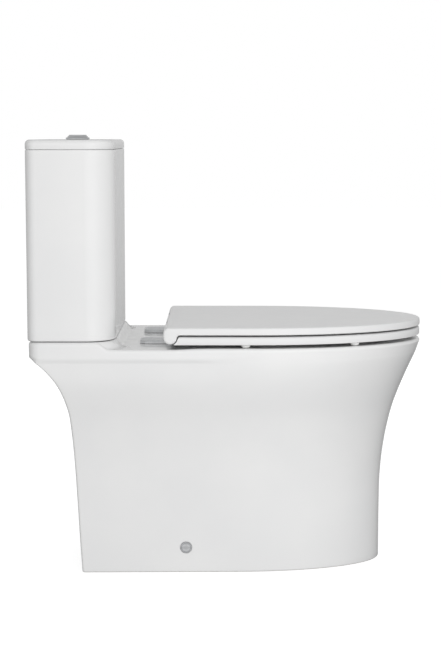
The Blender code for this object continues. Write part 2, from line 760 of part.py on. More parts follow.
def plate_plan(x, inset):
    """A rectangle with round corners, the outline of a hinge's cover plate."""
    across, along = PLATE_HALF[0] - PLATE_CORNER, PLATE_HALF[1] - PLATE_CORNER
    points = []
    for quarter, (i, j) in enumerate(((1, 1), (-1, 1), (-1, -1), (1, -1))):
        centre = (x + i * across, PLATE_Y + j * along)
        points += arc(centre, PLATE_CORNER - inset, 90 * quarter, 90 * (quarter + 1), 5)
    return points


def hinge_plate(side, word, chrome):
    """A smooth cover over the post's foot and the bolt's head. The post rises through its slot."""
    x = side * HINGE_X
    levels = ((RIM_TOP + GAP, 0), (PLATE_TOP - 0.0018, 0))
    levels += ((PLATE_TOP - 0.0005, 0.0006), (PLATE_TOP, 0.002))
    plate = loft(f"hinge_plate_{word}", [at(height, plate_plan(x, inset)) for height, inset in levels], chrome)
    inside = [at(height, plate_plan(x, PLATE_WALL)) for height in (RIM_TOP - 0.01, PLATE_TOP - PLATE_WALL)]
    near, far = sorted((side * (POST[0] - 0.0004), side * (POST[1] + 0.0004)))
    neck = POST_NECK + 0.0004
    slot = box(f"plate_slot_{word}", (near, HINGE_Y - neck, 0.395), (far, HINGE_Y + neck, 0.415), chrome)
    return cut(plate, loft(f"plate_inside_{word}", inside, chrome), slot)


def hinge_post(side, word, chrome):
    """The foot under the cover, and the upright that carries the pin."""
    x = side * HINGE_X
    foot = RIM_TOP + GAP
    section = arc((HINGE_Y, HINGE_Z), 0.0100, -123, -417, 20)
    section += [(HINGE_Y + POST_NECK, FOOT_TOP - 0.0003), (BOLT_Y, FOOT_TOP - 0.0003)]
    section += [(BOLT_Y, foot), (HINGE_Y - POST_NECK, foot)]
    post = extrusion(f"hinge_post_{word}", section, side * POST[0], side * POST[1], chrome)
    start, end = (x, BOLT_Y, foot + 0.0002), (x, BOLT_Y, FOOT_TOP)
    add(post, rod(f"post_pad_{word}", start, end, 0.011, chrome, 24))
    cut(post, barrel(f"post_bore_{word}", side * 0.06, side * 0.10, PIN_RADIUS + GAP, chrome, 16))
    return cut(post, rod(f"post_hole_{word}", (x, BOLT_Y, 0.39), (x, BOLT_Y, 0.41), 0.0045, chrome, 16))


def make_hinges(chrome, steel, plastic):
    bolt_profile = (
        (0, 0.3450),
        (0.0040, 0.3450),
        (0.0040, FOOT_TOP + GAP),
        (0.0075, FOOT_TOP + GAP),
        (0.0075, FOOT_TOP + 0.0014),
        (0.0055, FOOT_TOP + 0.0021),
        (0, FOOT_TOP + 0.0021),
    )
    for side, word in ((-1, "left"), (1, "right")):
        x = side * HINGE_X
        hinge_plate(side, word, chrome)
        hinge_post(side, word, chrome)
        barrel(f"hinge_pin_{word}", side * 0.036, side * 0.100, PIN_RADIUS, steel, 16)
        turned(f"hinge_bolt_{word}", bolt_profile, (x, BOLT_Y, 0), chrome, None, 16)
        wing_nut(f"hinge_wing_nut_{word}", (x, BOLT_Y, 0), SLAB_BOTTOM - 0.0004, plastic)


def make_floor_fixings(chrome, steel, plastic):
    """On each side: a plastic block behind the skirt, its sideways screw and the cap over the screw."""
    face = cap_face()
    for side, word in ((-1, "left"), (1, "right")):
        turn = Matrix.Rotation(side * math.pi / 2, 4, "Y")
        inner = FOOT_HALF - WALL - 0.0006
        block = box(
            f"floor_block_{word}",
            (min(side * 0.070, side * inner), CAP_Y - 0.020, 0),
            (max(side * 0.070, side * inner), CAP_Y + 0.020, 0.006),
            plastic,
        )
        upright = box(
            f"block_upright_{word}",
            (min(side * 0.096, side * inner), CAP_Y - 0.020, 0.003),
            (max(side * 0.096, side * inner), CAP_Y + 0.020, 0.062),
            plastic,
        )
        start, end = (side * 0.08, CAP_Y, CAP_Z), (side * 0.13, CAP_Y, CAP_Z)
        add(block, upright)
        cut(block, rod(f"block_bore_{word}", start, end, 0.0034, plastic, 16))
        x = side * 0.083
        cut(block, rod(f"floor_hole_{word}", (x, CAP_Y, -0.01), (x, CAP_Y, 0.02), 0.0035, plastic, 16))
        head = face - CAP_DEPTH - 0.0002
        screw_profile = (
            (0, -0.036),
            (0.0030, -0.036),
            (0.0030, 0.0003),
            (0.0068, 0.0003),
            (0.0068, 0.0022),
            (0, 0.0022),
        )
        turned(f"side_screw_{word}", screw_profile, (side * head, CAP_Y, CAP_Z), steel, turn, 16)
        cap_profile = (
            (0, 0.0026),
            (0.0072, 0.0026),
            (0.0072, 0.0006),
            (CAP_RADIUS, 0.0006),
            (CAP_RADIUS, 0.0034),
            (CAP_RADIUS - 0.0015, 0.0046),
            (0, 0.0052),
        )
        turned(f"fixing_cap_{word}", cap_profile, (side * head, CAP_Y, CAP_Z), chrome, turn, 20)


def main():
    clear_scene()
    china = make_material("china", (0.87, 0.88, 0.88), 0.08)
    seat_plastic = make_material("seat_plastic", (0.86, 0.87, 0.87), 0.18)
    valve_plastic = make_material("valve_plastic", (0.70, 0.72, 0.74), 0.45)
    rubber = make_material("rubber", (0.76, 0.76, 0.75), 0.75)
    chrome = make_material("chrome", (0.80, 0.81, 0.82), 0.08, 1.0)
    steel = make_material("steel", (0.60, 0.61, 0.62), 0.30, 1.0)

    make_pan(china)
    make_cistern(china)
    cistern_lid = make_cistern_lid(china)
    housing, lock_nut, buttons = make_buttons(chrome, valve_plastic)
    make_flush_valve(valve_plastic, rubber)
    make_fill_valve(valve_plastic, rubber)
    make_coupling(steel, rubber, valve_plastic)
    make_hinges(chrome, steel, valve_plastic)
    make_floor_fixings(chrome, steel, valve_plastic)
    ring, ring_buffers = make_ring(seat_plastic)
    lid, lid_buffers = make_lid(seat_plastic)

    hinge = (0, HINGE_Y, HINGE_Z)
    carry(joint_empty("seat_ring_axis", hinge), ring, *ring_buffers)
    carry(joint_empty("seat_lid_axis", hinge), lid, *lid_buffers)
    carry(joint_empty("cistern_lid_axis", (0, FLUSH_Y, LID_BOTTOM)), cistern_lid, housing, lock_nut)
    for button in buttons:
        carry(joint_empty(f"{button.name}_axis", (0, FLUSH_Y, HEIGHT)), button)


main()
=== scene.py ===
"""Close coupled toilet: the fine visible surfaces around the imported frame, with materials, light and camera.

Metres, +Z up, the front of the pan towards -Y, as in the frame. Sizes come from the frame's boxes and
joints where it has them, and otherwise repeat the design's own.
"""

import json
import math

import bmesh
import bpy
import numpy as np
from mathutils import Matrix, Vector


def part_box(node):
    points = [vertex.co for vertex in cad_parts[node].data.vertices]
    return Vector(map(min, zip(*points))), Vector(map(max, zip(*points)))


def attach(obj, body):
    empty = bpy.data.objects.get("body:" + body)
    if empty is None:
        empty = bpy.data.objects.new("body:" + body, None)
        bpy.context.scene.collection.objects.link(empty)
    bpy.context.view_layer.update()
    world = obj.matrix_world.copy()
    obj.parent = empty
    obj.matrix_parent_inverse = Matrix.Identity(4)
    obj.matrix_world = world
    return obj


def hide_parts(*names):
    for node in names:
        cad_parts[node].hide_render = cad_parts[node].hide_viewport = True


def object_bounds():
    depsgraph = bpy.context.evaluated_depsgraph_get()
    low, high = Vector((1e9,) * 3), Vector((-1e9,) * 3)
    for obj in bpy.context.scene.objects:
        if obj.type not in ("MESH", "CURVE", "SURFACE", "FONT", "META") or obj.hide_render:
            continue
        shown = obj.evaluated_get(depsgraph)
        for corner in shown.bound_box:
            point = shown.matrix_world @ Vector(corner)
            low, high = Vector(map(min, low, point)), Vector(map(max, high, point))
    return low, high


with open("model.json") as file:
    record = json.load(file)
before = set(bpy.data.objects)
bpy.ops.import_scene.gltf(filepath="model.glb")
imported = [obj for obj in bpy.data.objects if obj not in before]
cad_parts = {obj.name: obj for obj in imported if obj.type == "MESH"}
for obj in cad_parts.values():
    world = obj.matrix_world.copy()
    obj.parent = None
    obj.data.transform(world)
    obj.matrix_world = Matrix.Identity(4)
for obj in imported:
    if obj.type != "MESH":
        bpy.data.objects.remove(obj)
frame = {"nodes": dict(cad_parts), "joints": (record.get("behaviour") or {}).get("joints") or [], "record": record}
CAD_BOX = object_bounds()

SIDES = ((-1, "left"), (1, "right"))
GAP = 0.0003  # between pieces that touch


def side_span(side, reach):
    """Two distances from the middle, as ends along X on one side."""
    return sorted((side * reach[0], side * reach[1]))


def centre_of(node):
    """The middle of a node's box."""
    low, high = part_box(node)
    return (low + high) / 2


# Outlines from the frame
PAN_LOW, PAN_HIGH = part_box("pan")
TANK_LOW, TANK_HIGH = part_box("cistern")
COVER_LOW, COVER_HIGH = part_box("cistern_lid")
RING_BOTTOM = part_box("seat_ring")[0].z
LID_LOW, LID_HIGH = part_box("seat_lid")
HINGE = next(Vector(j["pos_m"]) for j in frame["joints"] if j["name"] == "seat_ring_hinge")
HALF = PAN_HIGH.x
PLATE_LOW, PLATE_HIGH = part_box("hinge_plate_right")
PLATE_X, PLATE_Y, _ = centre_of("hinge_plate_right")
PLATE_TOP = PLATE_HIGH.z
BOLT_Y = centre_of("hinge_bolt_right").y
FLUSH_Y = (TANK_LOW.y + TANK_HIGH.y) / 2
VALVE = (0, FLUSH_Y)
CAP_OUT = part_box("fixing_cap_right")[1].x
_, CAP_Y, CAP_Z = centre_of("fixing_cap_right")

# Pan
RIM_TOP = 0.4
RIM_BEND = -0.045
RIM_ROUND = 0.0052
RIM_CROWN = 0.002  # how far the rim rises under the seat
LEDGE_CORNER = 0.02
EDGE_CORNER = 0.004  # of the skirt's rear edges
FOOT_HALF_REAR = 0.127
FOOT_HALF = 0.123
FOOT_FRONT = -0.2725
FOOT_BEND = -0.01
FOOT_ROUND = 0.003
WALL = 0.012
BAND_START, BAND_END = 0.3755, 0.386  # the side band grows out of the skirt between these heights
BAND_DRAW = 0.04  # height over which the skirt draws in under the band
BAND_FADE = (0.06, -0.045)  # and fades out forwards between these places
BAND_PROUD = 0.0017  # how much the skirt draws in under the band
SLAB_BOTTOM = 0.372
SIDE_FULLNESS = 1.6  # above 1, the sides reach the rim's width sooner than the front reaches its length
PLINTH_TOP = 0.4125
PLINTH_EDGE, PLINTH_FOOT = 0.0008, 0.013  # its slope starts and ends this far out from the cistern
LIP_ROUND = 0.007
# height, flare from foot (0) to rim (1), rear edge of the side walls
PAN_PROFILE = (
    (0.003, 0.0, 0.2563), (0.06, 0.0, 0.2599), (0.13, 0.005, 0.2636),
    (0.174, 0.04, 0.2658), (0.218, 0.121, 0.2682), (0.25, 0.212, 0.2706),
    (0.28, 0.325, 0.2735), (0.308, 0.469, 0.2803), (0.335, 0.63, 0.2915),
    (0.354, 0.752, 0.3047), (0.368, 0.845, 0.3176), (0.3775, 0.905, 0.329),
    (0.3815, 0.925, 0.334), (0.3865, 0.95, 0.33975), (0.397, 1.0, 0.33975),
)
# height, half width, rear end, front end
BOWL_PROFILE = (
    (0.16, 0.027, -0.048, -0.11), (0.18, 0.043, -0.042, -0.15),
    (0.21, 0.063, -0.036, -0.196), (0.25, 0.084, -0.028, -0.236),
    (0.3, 0.104, -0.018, -0.264), (0.35, 0.117, -0.01, -0.281),
    (0.385, 0.121, -0.006, -0.287), (0.4, 0.121, -0.006, -0.287),
)
BOWL_WALL = 0.011
TRAP_PATH = (
    (-0.1, 0.188), (-0.048, 0.186), (-0.012, 0.192), (0.028, 0.22), (0.058, 0.254),
    (0.093, 0.268), (0.128, 0.252), (0.156, 0.218), (0.188, 0.19), (0.225, 0.18),
)
TRAP_BORE = 0.027
TRAP_WALL = 0.009
OUTLET_Z = 0.18
OUTLET_END = 0.2705
OUTLET_RADIUS = 0.051
OUTLET_BORE = 0.0425
CASTING_VOXEL = 0.0032

# Cistern and its lid
CORNER_BACK = 0.018
CORNER_FRONT = 0.05
TANK_ROUND = 0.0036
TANK_WALL = 0.009
TANK_FLOOR = 0.4255
COVER_ROUND = 0.0075
COVER_SEAT = TANK_HIGH.z + GAP

# Seat
RING_HOLE = (0.107, -0.004, -0.281)
RING_TOP = 0.4215
RING_END_ROUND = 0.005  # where the ring's top turns down round the hinge
LID_UNDER = 0.4245
LID_TOP_ROUND = 0.0035
DISH_REAR = 0.0862  # the hollow under the lid ends here
BARREL_RADIUS = 0.0115
BARREL_CLEAR = 0.013
SLOT = (0.0465, 0.088)
LID_NOTCH = 0.0075
KNUCKLE = (0.048, 0.0675)
POST = (0.069, 0.0865)
PIN_RADIUS = 0.003
POST_NECK = 0.0055
PLATE_CORNER = 0.014
PLATE_WALL = 0.0012
PLATE_ROUND = 0.0026
FOOT_TOP = 0.4026

# Camera, solved for the side view. The focal length is in frame heights.
CAMERA_DISTANCE = 2.85256
CAMERA_Y = 0.01475
CAMERA_HEIGHT = 0.7579
CAMERA_PITCH = 6.948654
FOCAL_LENGTH = 2.41692
SENSOR = 36.0

# The studio's brightness by how high a direction points (-1 down, 1 up), on the camera's side and behind
STUDIO_NEAR = ((-1.0, 0.82), (-0.48, 0.82), (-0.27, 0.6), (0.0, 0.72), (0.12, 0.8), (0.3, 0.6), (0.6, 0.4))
STUDIO_FAR = ((-1.0, 0.2), (-0.3, 0.26), (-0.07, 0.54), (0.05, 0.62), (0.2, 0.58), (0.5, 0.48), (1.0, 0.55))
STUDIO_TURN = (-0.92, -0.15)  # the near side fades into the far side between these values of X
# name, place, target, width and height, watts
LAMPS = (
    ("key", (-1.5, -0.36, 0.66), (0, -0.05, 0.36), (1.3, 1.4), 13.5),
    ("far", (2.6, 0.1, 1.2), (0, 0, 0.35), (2.0, 1.4), 26),
    ("top", (0, 0, 3.2), (0, 0, 0), (3.0, 3.0), 8),
)


# ---- curves and outlines


def smooth(value, start, end):
    """0 before start, 1 after end, and an easy curve between them."""
    share = np.clip((value - start) / (end - start), 0.0, 1.0)
    return share * share * (3 - 2 * share)


def through(rows, places):
    """Values between the rows of a table, on a curve that doesn't swing past them."""
    table = np.array(rows, float)
    x, y = table[:, 0], table[:, 1:]
    places = np.clip(places, x[0], x[-1])
    slope = np.diff(y, axis=0) / np.diff(x)[:, None]
    product, total = slope[:-1] * slope[1:], slope[:-1] + slope[1:]
    inner = np.where(product > 0, 2 * product / np.where(total == 0, 1, total), 0.0)
    tangent = np.vstack([slope[:1], inner, slope[-1:]])
    k = np.clip(np.searchsorted(x, places) - 1, 0, len(x) - 2)
    t = ((places - x[k]) / (x[k + 1] - x[k]))[:, None]
    span = (x[k + 1] - x[k])[:, None]
    start = (1 + 2 * t) * (1 - t) ** 2 * y[k] + t * (1 - t) ** 2 * span * tangent[k]
    return start + t * t * (3 - 2 * t) * y[k + 1] + t * t * (t - 1) * span * tangent[k + 1]


def arc(centre, radius, start, end, steps):
    """Points round part of a circle, angles in degrees."""
    turn = np.radians(np.linspace(start, end, steps + 1))
    return np.column_stack([centre[0] + radius * np.cos(turn), centre[1] + radius * np.sin(turn)])


def quarter(radius, steps=6):
    """(inset, drop) pairs round an edge, from the upright side to the flat top."""
    turn = np.linspace(0, math.pi / 2, steps + 1)
    return [(radius * (1 - math.cos(a)), radius * (1 - math.sin(a))) for a in turn]


def over_edge(top, radius, steps=6, inset=0.0):
    """(height, inset) levels up and over an edge."""
    return [(top - drop, inset + more) for more, drop in quarter(radius, steps)]


def mirrored(half):
    return np.vstack([half, half[-2:0:-1] * (-1, 1)])


def nose(half, bend, front, steps):
    """A quarter of an ellipse, from the side round to the front."""
    turn = np.linspace(0, -math.pi / 2, steps + 1)
    return np.column_stack([half * np.cos(turn), bend + (bend - front) * np.sin(turn)])


def d_outline(half_at, back, corner, bend, front, stops=(), runs=(30,)):
    """A D: a straight back, sides whose half width half_at gives, and a half ellipse to the front."""
    start = back - corner
    wide = float(half_at(np.array([start]))[0])
    parts = [np.column_stack([np.linspace(0, wide - corner, 20, endpoint=False), np.full(20, back)])]
    parts.append(arc((wide - corner, start), corner, 90, 0, 8)[:-1])
    places = (start, *stops, bend)
    for count, first, last in zip(runs, places, places[1:]):
        run = np.linspace(first, last, count, endpoint=False)
        parts.append(np.column_stack([half_at(run), run]))
    parts.append(nose(float(half_at(np.array([bend]))[0]), bend, front, 52))
    return mirrored(np.vstack(parts))


def seat_outline(inset, rear):
    return d_outline(lambda y: np.full(len(y), HALF - inset), rear, 0.001, RIM_BEND, LID_LOW.y + inset)


def tank_outline(inset=0.0):
    """The cistern's outline: small corners at the wall, large ones at the front."""
    half, back, front = TANK_HIGH.x - inset, TANK_HIGH.y - inset, TANK_LOW.y + inset
    small, large = max(CORNER_BACK - inset, 0.002), CORNER_FRONT - inset
    across = np.linspace(0, 1, 8, endpoint=False)[:, None]
    return mirrored(np.vstack([
        across * (half - small, 0) + (0, back),
        arc((half - small, back - small), small, 90, 0, 8),
        arc((half - large, front + large), large, 0, -90, 20),
        (1 - across[1:]) * (half - large, 0) + (0, front),
        [(0, front)],
    ]))


def oval_at(turns, half, rear, front, outset=0.0):
    """Points of an oval at given turns round it."""
    middle, reach = (rear + front) / 2, (rear - front) / 2 + outset
    return np.column_stack([(half + outset) * np.cos(turns), middle + reach * np.sin(turns)])


def turns_towards(outline, half, rear, front):
    """Where an oval faces each point of an outline round it."""
    middle, reach = (rear + front) / 2, (rear - front) / 2
    return np.arctan2((outline[:, 1] - middle) / reach, outline[:, 0] / half)


def at(height, outline):
    return np.column_stack([outline, np.broadcast_to(height, len(outline))])


def slice_at(x, loop):
    return np.column_stack([np.full(len(loop), x), loop])


def inset_loop(points, distance):
    """A closed loop moved inwards by a distance; the loop runs anticlockwise."""
    before, after = points - np.roll(points, 1, axis=0), np.roll(points, -1, axis=0) - points
    normals = []
    for edge in (before, after):
        normal = np.column_stack([-edge[:, 1], edge[:, 0]])
        normals.append(normal / np.linalg.norm(normal, axis=1)[:, None])
    middle = normals[0] + normals[1]
    return points + distance * middle * 2 / np.sum(middle * middle, axis=1)[:, None]


def softened(profile, radius, steps=4):
    """A (radius, height) profile with its corners rounded."""
    points = [Vector(p) for p in profile]
    closed = bool(points[0].x and points[-1].x)
    rounded = []
    for i, point in enumerate(points):
        if not closed and i in (0, len(points) - 1):
            rounded.append(tuple(point))
            continue
        back, on = points[i - 1] - point, points[(i + 1) % len(points)] - point
        reach = min(radius, 0.45 * back.length, 0.45 * on.length)
        start, end = point + back.normalized() * reach, point + on.normalized() * reach
        for k in range(steps + 1):
            t = k / steps
            rounded.append(tuple((1 - t) ** 2 * start + 2 * t * (1 - t) * point + t * t * end))
    return rounded


# ---- meshes

FINISH = {}  # the material of each slot


def finish_mesh(obj, sharp=32):
    obj.data.shade_smooth()
    obj.data.set_sharp_from_angle(angle=math.radians(sharp))
    return obj


def add_object(name, data):
    obj = bpy.data.objects.new(name, data)
    bpy.context.scene.collection.objects.link(obj)
    return obj


def add_mesh(name, vertices, faces, matrix=None):
    mesh = bpy.data.meshes.new(name)
    mesh.from_pydata(np.asarray(vertices).tolist(), [], faces)
    if matrix is not None:
        mesh.transform(matrix)
    work = bmesh.new()
    work.from_mesh(mesh)
    bmesh.ops.recalc_face_normals(work, faces=work.faces)
    work.to_mesh(mesh)
    work.free()
    return finish_mesh(add_object(name, mesh))


def stack(name, rings, looped=False):
    """A closed skin through rings of equally many points. Its ends are capped, or joined to each other."""
    rings = np.asarray(rings)
    index = np.arange(rings.shape[0] * rings.shape[1]).reshape(rings.shape[:2])
    lower = index if looped else index[:-1]
    upper = np.roll(index, -1, axis=0) if looped else index[1:]
    corners = [lower, np.roll(lower, -1, axis=1), np.roll(upper, -1, axis=1), upper]
    faces = np.stack(corners, axis=-1).reshape(-1, 4).tolist()
    if not looped:
        faces += [index[0].tolist(), index[-1].tolist()]
    return add_mesh(name, rings.reshape(-1, 3), faces)


def layered(name, levels, outline):
    """A skin through (height, inset) levels of one outline."""
    return stack(name, [at(height, outline(inset)) for height, inset in levels])


def revolve(name, profile, centre, soft=0.0005, segments=64, turn=None):
    """A turned piece with softened edges, from a (radius, height) profile."""
    rows, vertices = [], []
    for radius, height in softened(profile, soft):
        steps = segments if radius else 1
        rows.append(range(len(vertices), len(vertices) + steps))
        for i in range(steps):
            a = 2 * math.pi * i / segments
            vertices.append((radius * math.cos(a), radius * math.sin(a), height))
    pairs = list(zip(rows, rows[1:]))
    if len(rows[0]) > 1 and len(rows[-1]) > 1:
        pairs.append((rows[-1], rows[0]))
    faces = []
    for a, b in pairs:
        for i in range(segments):
            j = (i + 1) % segments
            ring = dict.fromkeys((a[i % len(a)], a[j % len(a)], b[j % len(b)], b[i % len(b)]))
            faces.append(tuple(ring))
    faces = [face for face in faces if len(face) > 2]
    place = Matrix.Translation(centre) @ (turn or Matrix.Identity(4))
    return add_mesh(name, vertices, faces, place)


def rod(name, start, end, radius, soft=0.0, segments=48):
    start, along = Vector(start), Vector(end) - Vector(start)
    turn = along.to_track_quat("Z", "Y").to_matrix().to_4x4()
    profile = ((0, 0), (radius, 0), (radius, along.length), (0, along.length))
    return revolve(name, profile, start, soft, segments, turn)


def upright(name, place, low, high, radius, soft=0.0, segments=48):
    """A rod standing at a place (x, y)."""
    return rod(name, (*place, low), (*place, high), radius, soft, segments)


def hinge_rod(name, start, end, radius, soft=0.0, segments=24):
    """A rod on the hinge's axis, between two distances from the middle."""
    return rod(name, (start, HINGE.y, HINGE.z), (end, HINGE.y, HINGE.z), radius, soft, segments)


def block(name, low, high):
    corners = [(x, y, z) for z in (low[2], high[2]) for y in (low[1], high[1]) for x in (low[0], high[0])]
    faces = [(0, 1, 3, 2), (4, 5, 7, 6), (0, 1, 5, 4), (2, 3, 7, 6), (0, 2, 6, 4), (1, 3, 7, 5)]
    return add_mesh(name, corners, faces)


def tube(name, path, radius, segments=40, per_span=6):
    """A round bar along a smooth curve through (y, z) points in the middle plane."""
    points = np.array(path, float)
    padded = np.vstack([2 * points[0] - points[1], points, 2 * points[-1] - points[-2]])
    line = []
    for p0, p1, p2, p3 in zip(padded, padded[1:], padded[2:], padded[3:]):
        for t in np.linspace(0, 1, per_span, endpoint=False):
            line.append(0.5 * (2 * p1 + (p2 - p0) * t + (2 * p0 - 5 * p1 + 4 * p2 - p3) * t**2
                               + (3 * p1 - p0 - 3 * p2 + p3) * t**3))
    line = np.array(line + [points[-1]])
    along = np.gradient(line, axis=0)
    along /= np.linalg.norm(along, axis=1)[:, None]
    a = np.linspace(0, 2 * math.pi, segments, endpoint=False)
    rings = []
    for (y, z), (dy, dz) in zip(line, along):
        rise = radius * np.sin(a)
        rings.append(np.column_stack([radius * np.cos(a), y - dz * rise, z + dy * rise]))
    return stack(name, rings)


def extrusion(name, section, ends, soft=0.0008):
    """A (y, z) section drawn out along X, with soft end edges."""
    low, high = ends
    edge = quarter(soft, 3)
    rings = [(low + inset, drop) for inset, drop in edge]
    rings += [(high - inset, drop) for inset, drop in reversed(edge)]
    return stack(name, [slice_at(x, inset_loop(section, drop) if drop else section) for x, drop in rings])


def solve(target):
    """Applies the modifiers of a piece to its mesh."""
    graph = bpy.context.evaluated_depsgraph_get()
    mesh = bpy.data.meshes.new_from_object(target.evaluated_get(graph))
    target.modifiers.clear()
    target.data = mesh
    return finish_mesh(target)


def combine(target, operation, *tools):
    for tool in tools:
        modifier = target.modifiers.new(operation, "BOOLEAN")
        modifier.operation = operation
        modifier.solver = "MANIFOLD"
        modifier.object = tool
    bpy.context.view_layer.update()
    solve(target)
    for tool in tools:
        bpy.data.objects.remove(tool, do_unlink=True)
    return target


def cut(target, *tools):
    return combine(target, "DIFFERENCE", *tools)


def fuse(target, *tools):
    return combine(target, "UNION", *tools)


def joined(pieces):
    """One object from several meshes."""
    work = bmesh.new()
    for piece in pieces:
        work.from_mesh(piece.data)
    work.to_mesh(pieces[0].data)
    work.free()
    for piece in pieces[1:]:
        bpy.data.objects.remove(piece, do_unlink=True)
    return pieces[0]


def show(piece, body, slot, *nodes):
    """The piece rides on its body, takes its finish from a slot and stands for CAD nodes."""
    piece.data.materials.clear()
    piece.data.materials.append(FINISH[slot])
    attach(piece, body)
    if nodes:
        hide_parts(*nodes)
    return piece


# ---- materials


class Tree:
    """A node tree whose nodes are added one by one."""

    def __init__(self, tree):
        self.nodes, self.links = tree.nodes, tree.links

    def feed(self, node, **inputs):
        """Links or sets a node's inputs. They go by name, with _ for a space, or by number as in _6."""
        for key, value in inputs.items():
            socket = node.inputs[int(key[1:]) if key.startswith("_") else key.replace("_", " ")]
            if isinstance(value, bpy.types.NodeSocket):
                self.links.new(value, socket)
            else:
                socket.default_value = (*value, 1) if socket.type == "RGBA" else value
        return node

    def node(self, kind, **inputs):
        return self.feed(self.nodes.new(kind), **inputs)

    def spread(self, value, low, high, to_low=0.0, to_high=1.0):
        made = self.node("ShaderNodeMapRange", Value=value, From_Min=low, From_Max=high)
        return self.feed(made, To_Min=to_low, To_Max=to_high).outputs["Result"]

    def mixed(self, factor, first, second):
        made = self.nodes.new("ShaderNodeMix")
        made.data_type = "RGBA"
        return self.feed(made, Factor=factor, _6=first, _7=second).outputs[2]


class Shader(Tree):
    """A Principled material."""

    def __init__(self, name, colour, roughness, **inputs):
        self.material = bpy.data.materials.new(name)
        self.material.use_nodes = True
        super().__init__(self.material.node_tree)
        self.main = self.nodes["Principled BSDF"]
        self.feed(self.main, Base_Color=colour, Roughness=roughness, **inputs)
        self.place = self.node("ShaderNodeTexCoord").outputs["Object"]

    def stretched(self, scale):
        return self.node("ShaderNodeMapping", Vector=self.place, Scale=scale).outputs["Vector"]

    def noise(self, scale, detail, place=None):
        place = place or self.place
        return self.node("ShaderNodeTexNoise", Vector=place, Scale=scale, Detail=detail).outputs["Fac"]

    def cloud(self, scale, detail, *spread):
        return self.spread(self.noise(scale, detail), *spread)

    def colour(self, factor, first, second):
        tone = self.mixed(factor, first, second)
        self.feed(self.main, Base_Color=tone)
        return tone

    def rough(self, value):
        self.feed(self.main, Roughness=value)

    def bump(self, height, strength, distance, coat=False):
        made = self.node("ShaderNodeBump", Height=height, Strength=strength, Distance=distance)
        self.feed(self.main, Normal=made.outputs["Normal"])
        if coat:
            self.feed(self.main, Coat_Normal=made.outputs["Normal"])


def make_china():
    """Glazed white china: a hard clear glaze that lies in faint waves over a slightly uneven white body."""
    shader = Shader("china_glaze", (0.8, 0.8, 0.8), 0.22, Coat_Weight=0.85, Coat_Roughness=0.04,
                    Coat_IOR=1.5)
    cloud = shader.cloud(7.0, 3.0, 0.35, 0.65)
    tone = shader.colour(cloud, (0.785, 0.787, 0.788), (0.812, 0.812, 0.81))
    pores = shader.cloud(950.0, 1.0, 0.76, 0.8)
    tone = shader.colour(pores, tone, (0.7, 0.695, 0.685))
    height = shader.node("ShaderNodeSeparateXYZ", Vector=shader.place).outputs["Z"]
    bare = shader.spread(height, 0.0016, 0.0006)
    shader.colour(bare, tone, (0.72, 0.68, 0.61))
    shader.rough(shader.cloud(40.0, 2.0, 0.3, 0.7, 0.17, 0.26))
    shader.bump(shader.noise(26.0, 1.0), 0.1, 0.0006, coat=True)
    return shader.material


def make_seat_plastic():
    """Hard white moulded plastic with a soft polish."""
    shader = Shader("seat_polish", (0.8, 0.8, 0.8), 0.2, Coat_Weight=0.1, Coat_Roughness=0.1,
                    Specular_IOR_Level=0.38)
    cloud = shader.cloud(14.0, 2.0, 0.35, 0.65)
    shader.colour(cloud, (0.753, 0.755, 0.757), (0.77, 0.77, 0.769))
    shader.rough(shader.cloud(90.0, 2.0, 0.3, 0.7, 0.3, 0.35))
    shader.bump(shader.noise(9.0, 0.0), 0.05, 0.001, coat=True)
    return shader.material


def make_chrome():
    """Bright chrome plate with faint wiping marks."""
    shader = Shader("chrome_plate", (0.68, 0.69, 0.7), 0.06, Metallic=1.0)
    marks = shader.noise(60.0, 4.0, shader.stretched((1.0, 9.0, 1.0)))
    shader.rough(shader.spread(marks, 0.3, 0.75, 0.045, 0.13))
    smudge = shader.cloud(55.0, 3.0, 0.35, 0.7)
    shader.colour(smudge, (0.7, 0.71, 0.72), (0.64, 0.65, 0.665))
    shader.bump(marks, 0.02, 0.0001)
    return shader.material


def make_satin_chrome():
    """The hinge covers' chrome, worn to a satin by cleaning."""
    shader = Shader("satin_chrome", (0.73, 0.74, 0.75), 0.36, Metallic=1.0)
    marks = shader.noise(70.0, 4.0, shader.stretched((1.0, 7.0, 1.0)))
    shader.rough(shader.spread(marks, 0.3, 0.75, 0.32, 0.42))
    shader.colour(shader.spread(marks, 0.35, 0.7), (0.76, 0.77, 0.78), (0.7, 0.71, 0.72))
    return shader.material


def make_valve_plastic():
    """Dull white moulded plastic of the valves, nuts and blocks."""
    shader = Shader("valve_moulding", (0.7, 0.72, 0.74), 0.45)
    cloud = shader.cloud(35.0, 3.0, 0.3, 0.7)
    shader.colour(cloud, (0.66, 0.68, 0.7), (0.72, 0.735, 0.75))
    shader.rough(shader.cloud(300.0, 2.0, 0.3, 0.7, 0.38, 0.52))
    shader.bump(shader.noise(900.0, 2.0), 0.15, 0.0001)
    return shader.material


def make_rubber():
    """Pale rubber with a fine dusty skin."""
    shader = Shader("pale_rubber", (0.74, 0.74, 0.73), 0.75)
    dust = shader.cloud(120.0, 4.0, 0.4, 0.7)
    shader.colour(dust, (0.72, 0.72, 0.71), (0.78, 0.78, 0.775))
    shader.rough(shader.spread(dust, 0.0, 1.0, 0.68, 0.85))
    shader.bump(shader.noise(1500.0, 2.0), 0.2, 0.00008)
    return shader.material


def make_steel():
    """Stainless steel, brushed along its length."""
    shader = Shader("brushed_steel", (0.6, 0.61, 0.62), 0.3, Metallic=1.0)
    brush = shader.noise(220.0, 3.0, shader.stretched((8.0, 8.0, 0.6)))
    shader.colour(shader.spread(brush, 0.3, 0.7), (0.52, 0.53, 0.54), (0.66, 0.665, 0.67))
    shader.rough(shader.spread(brush, 0.3, 0.7, 0.24, 0.38))
    shader.bump(brush, 0.1, 0.0001)
    return shader.material


# ---- pan


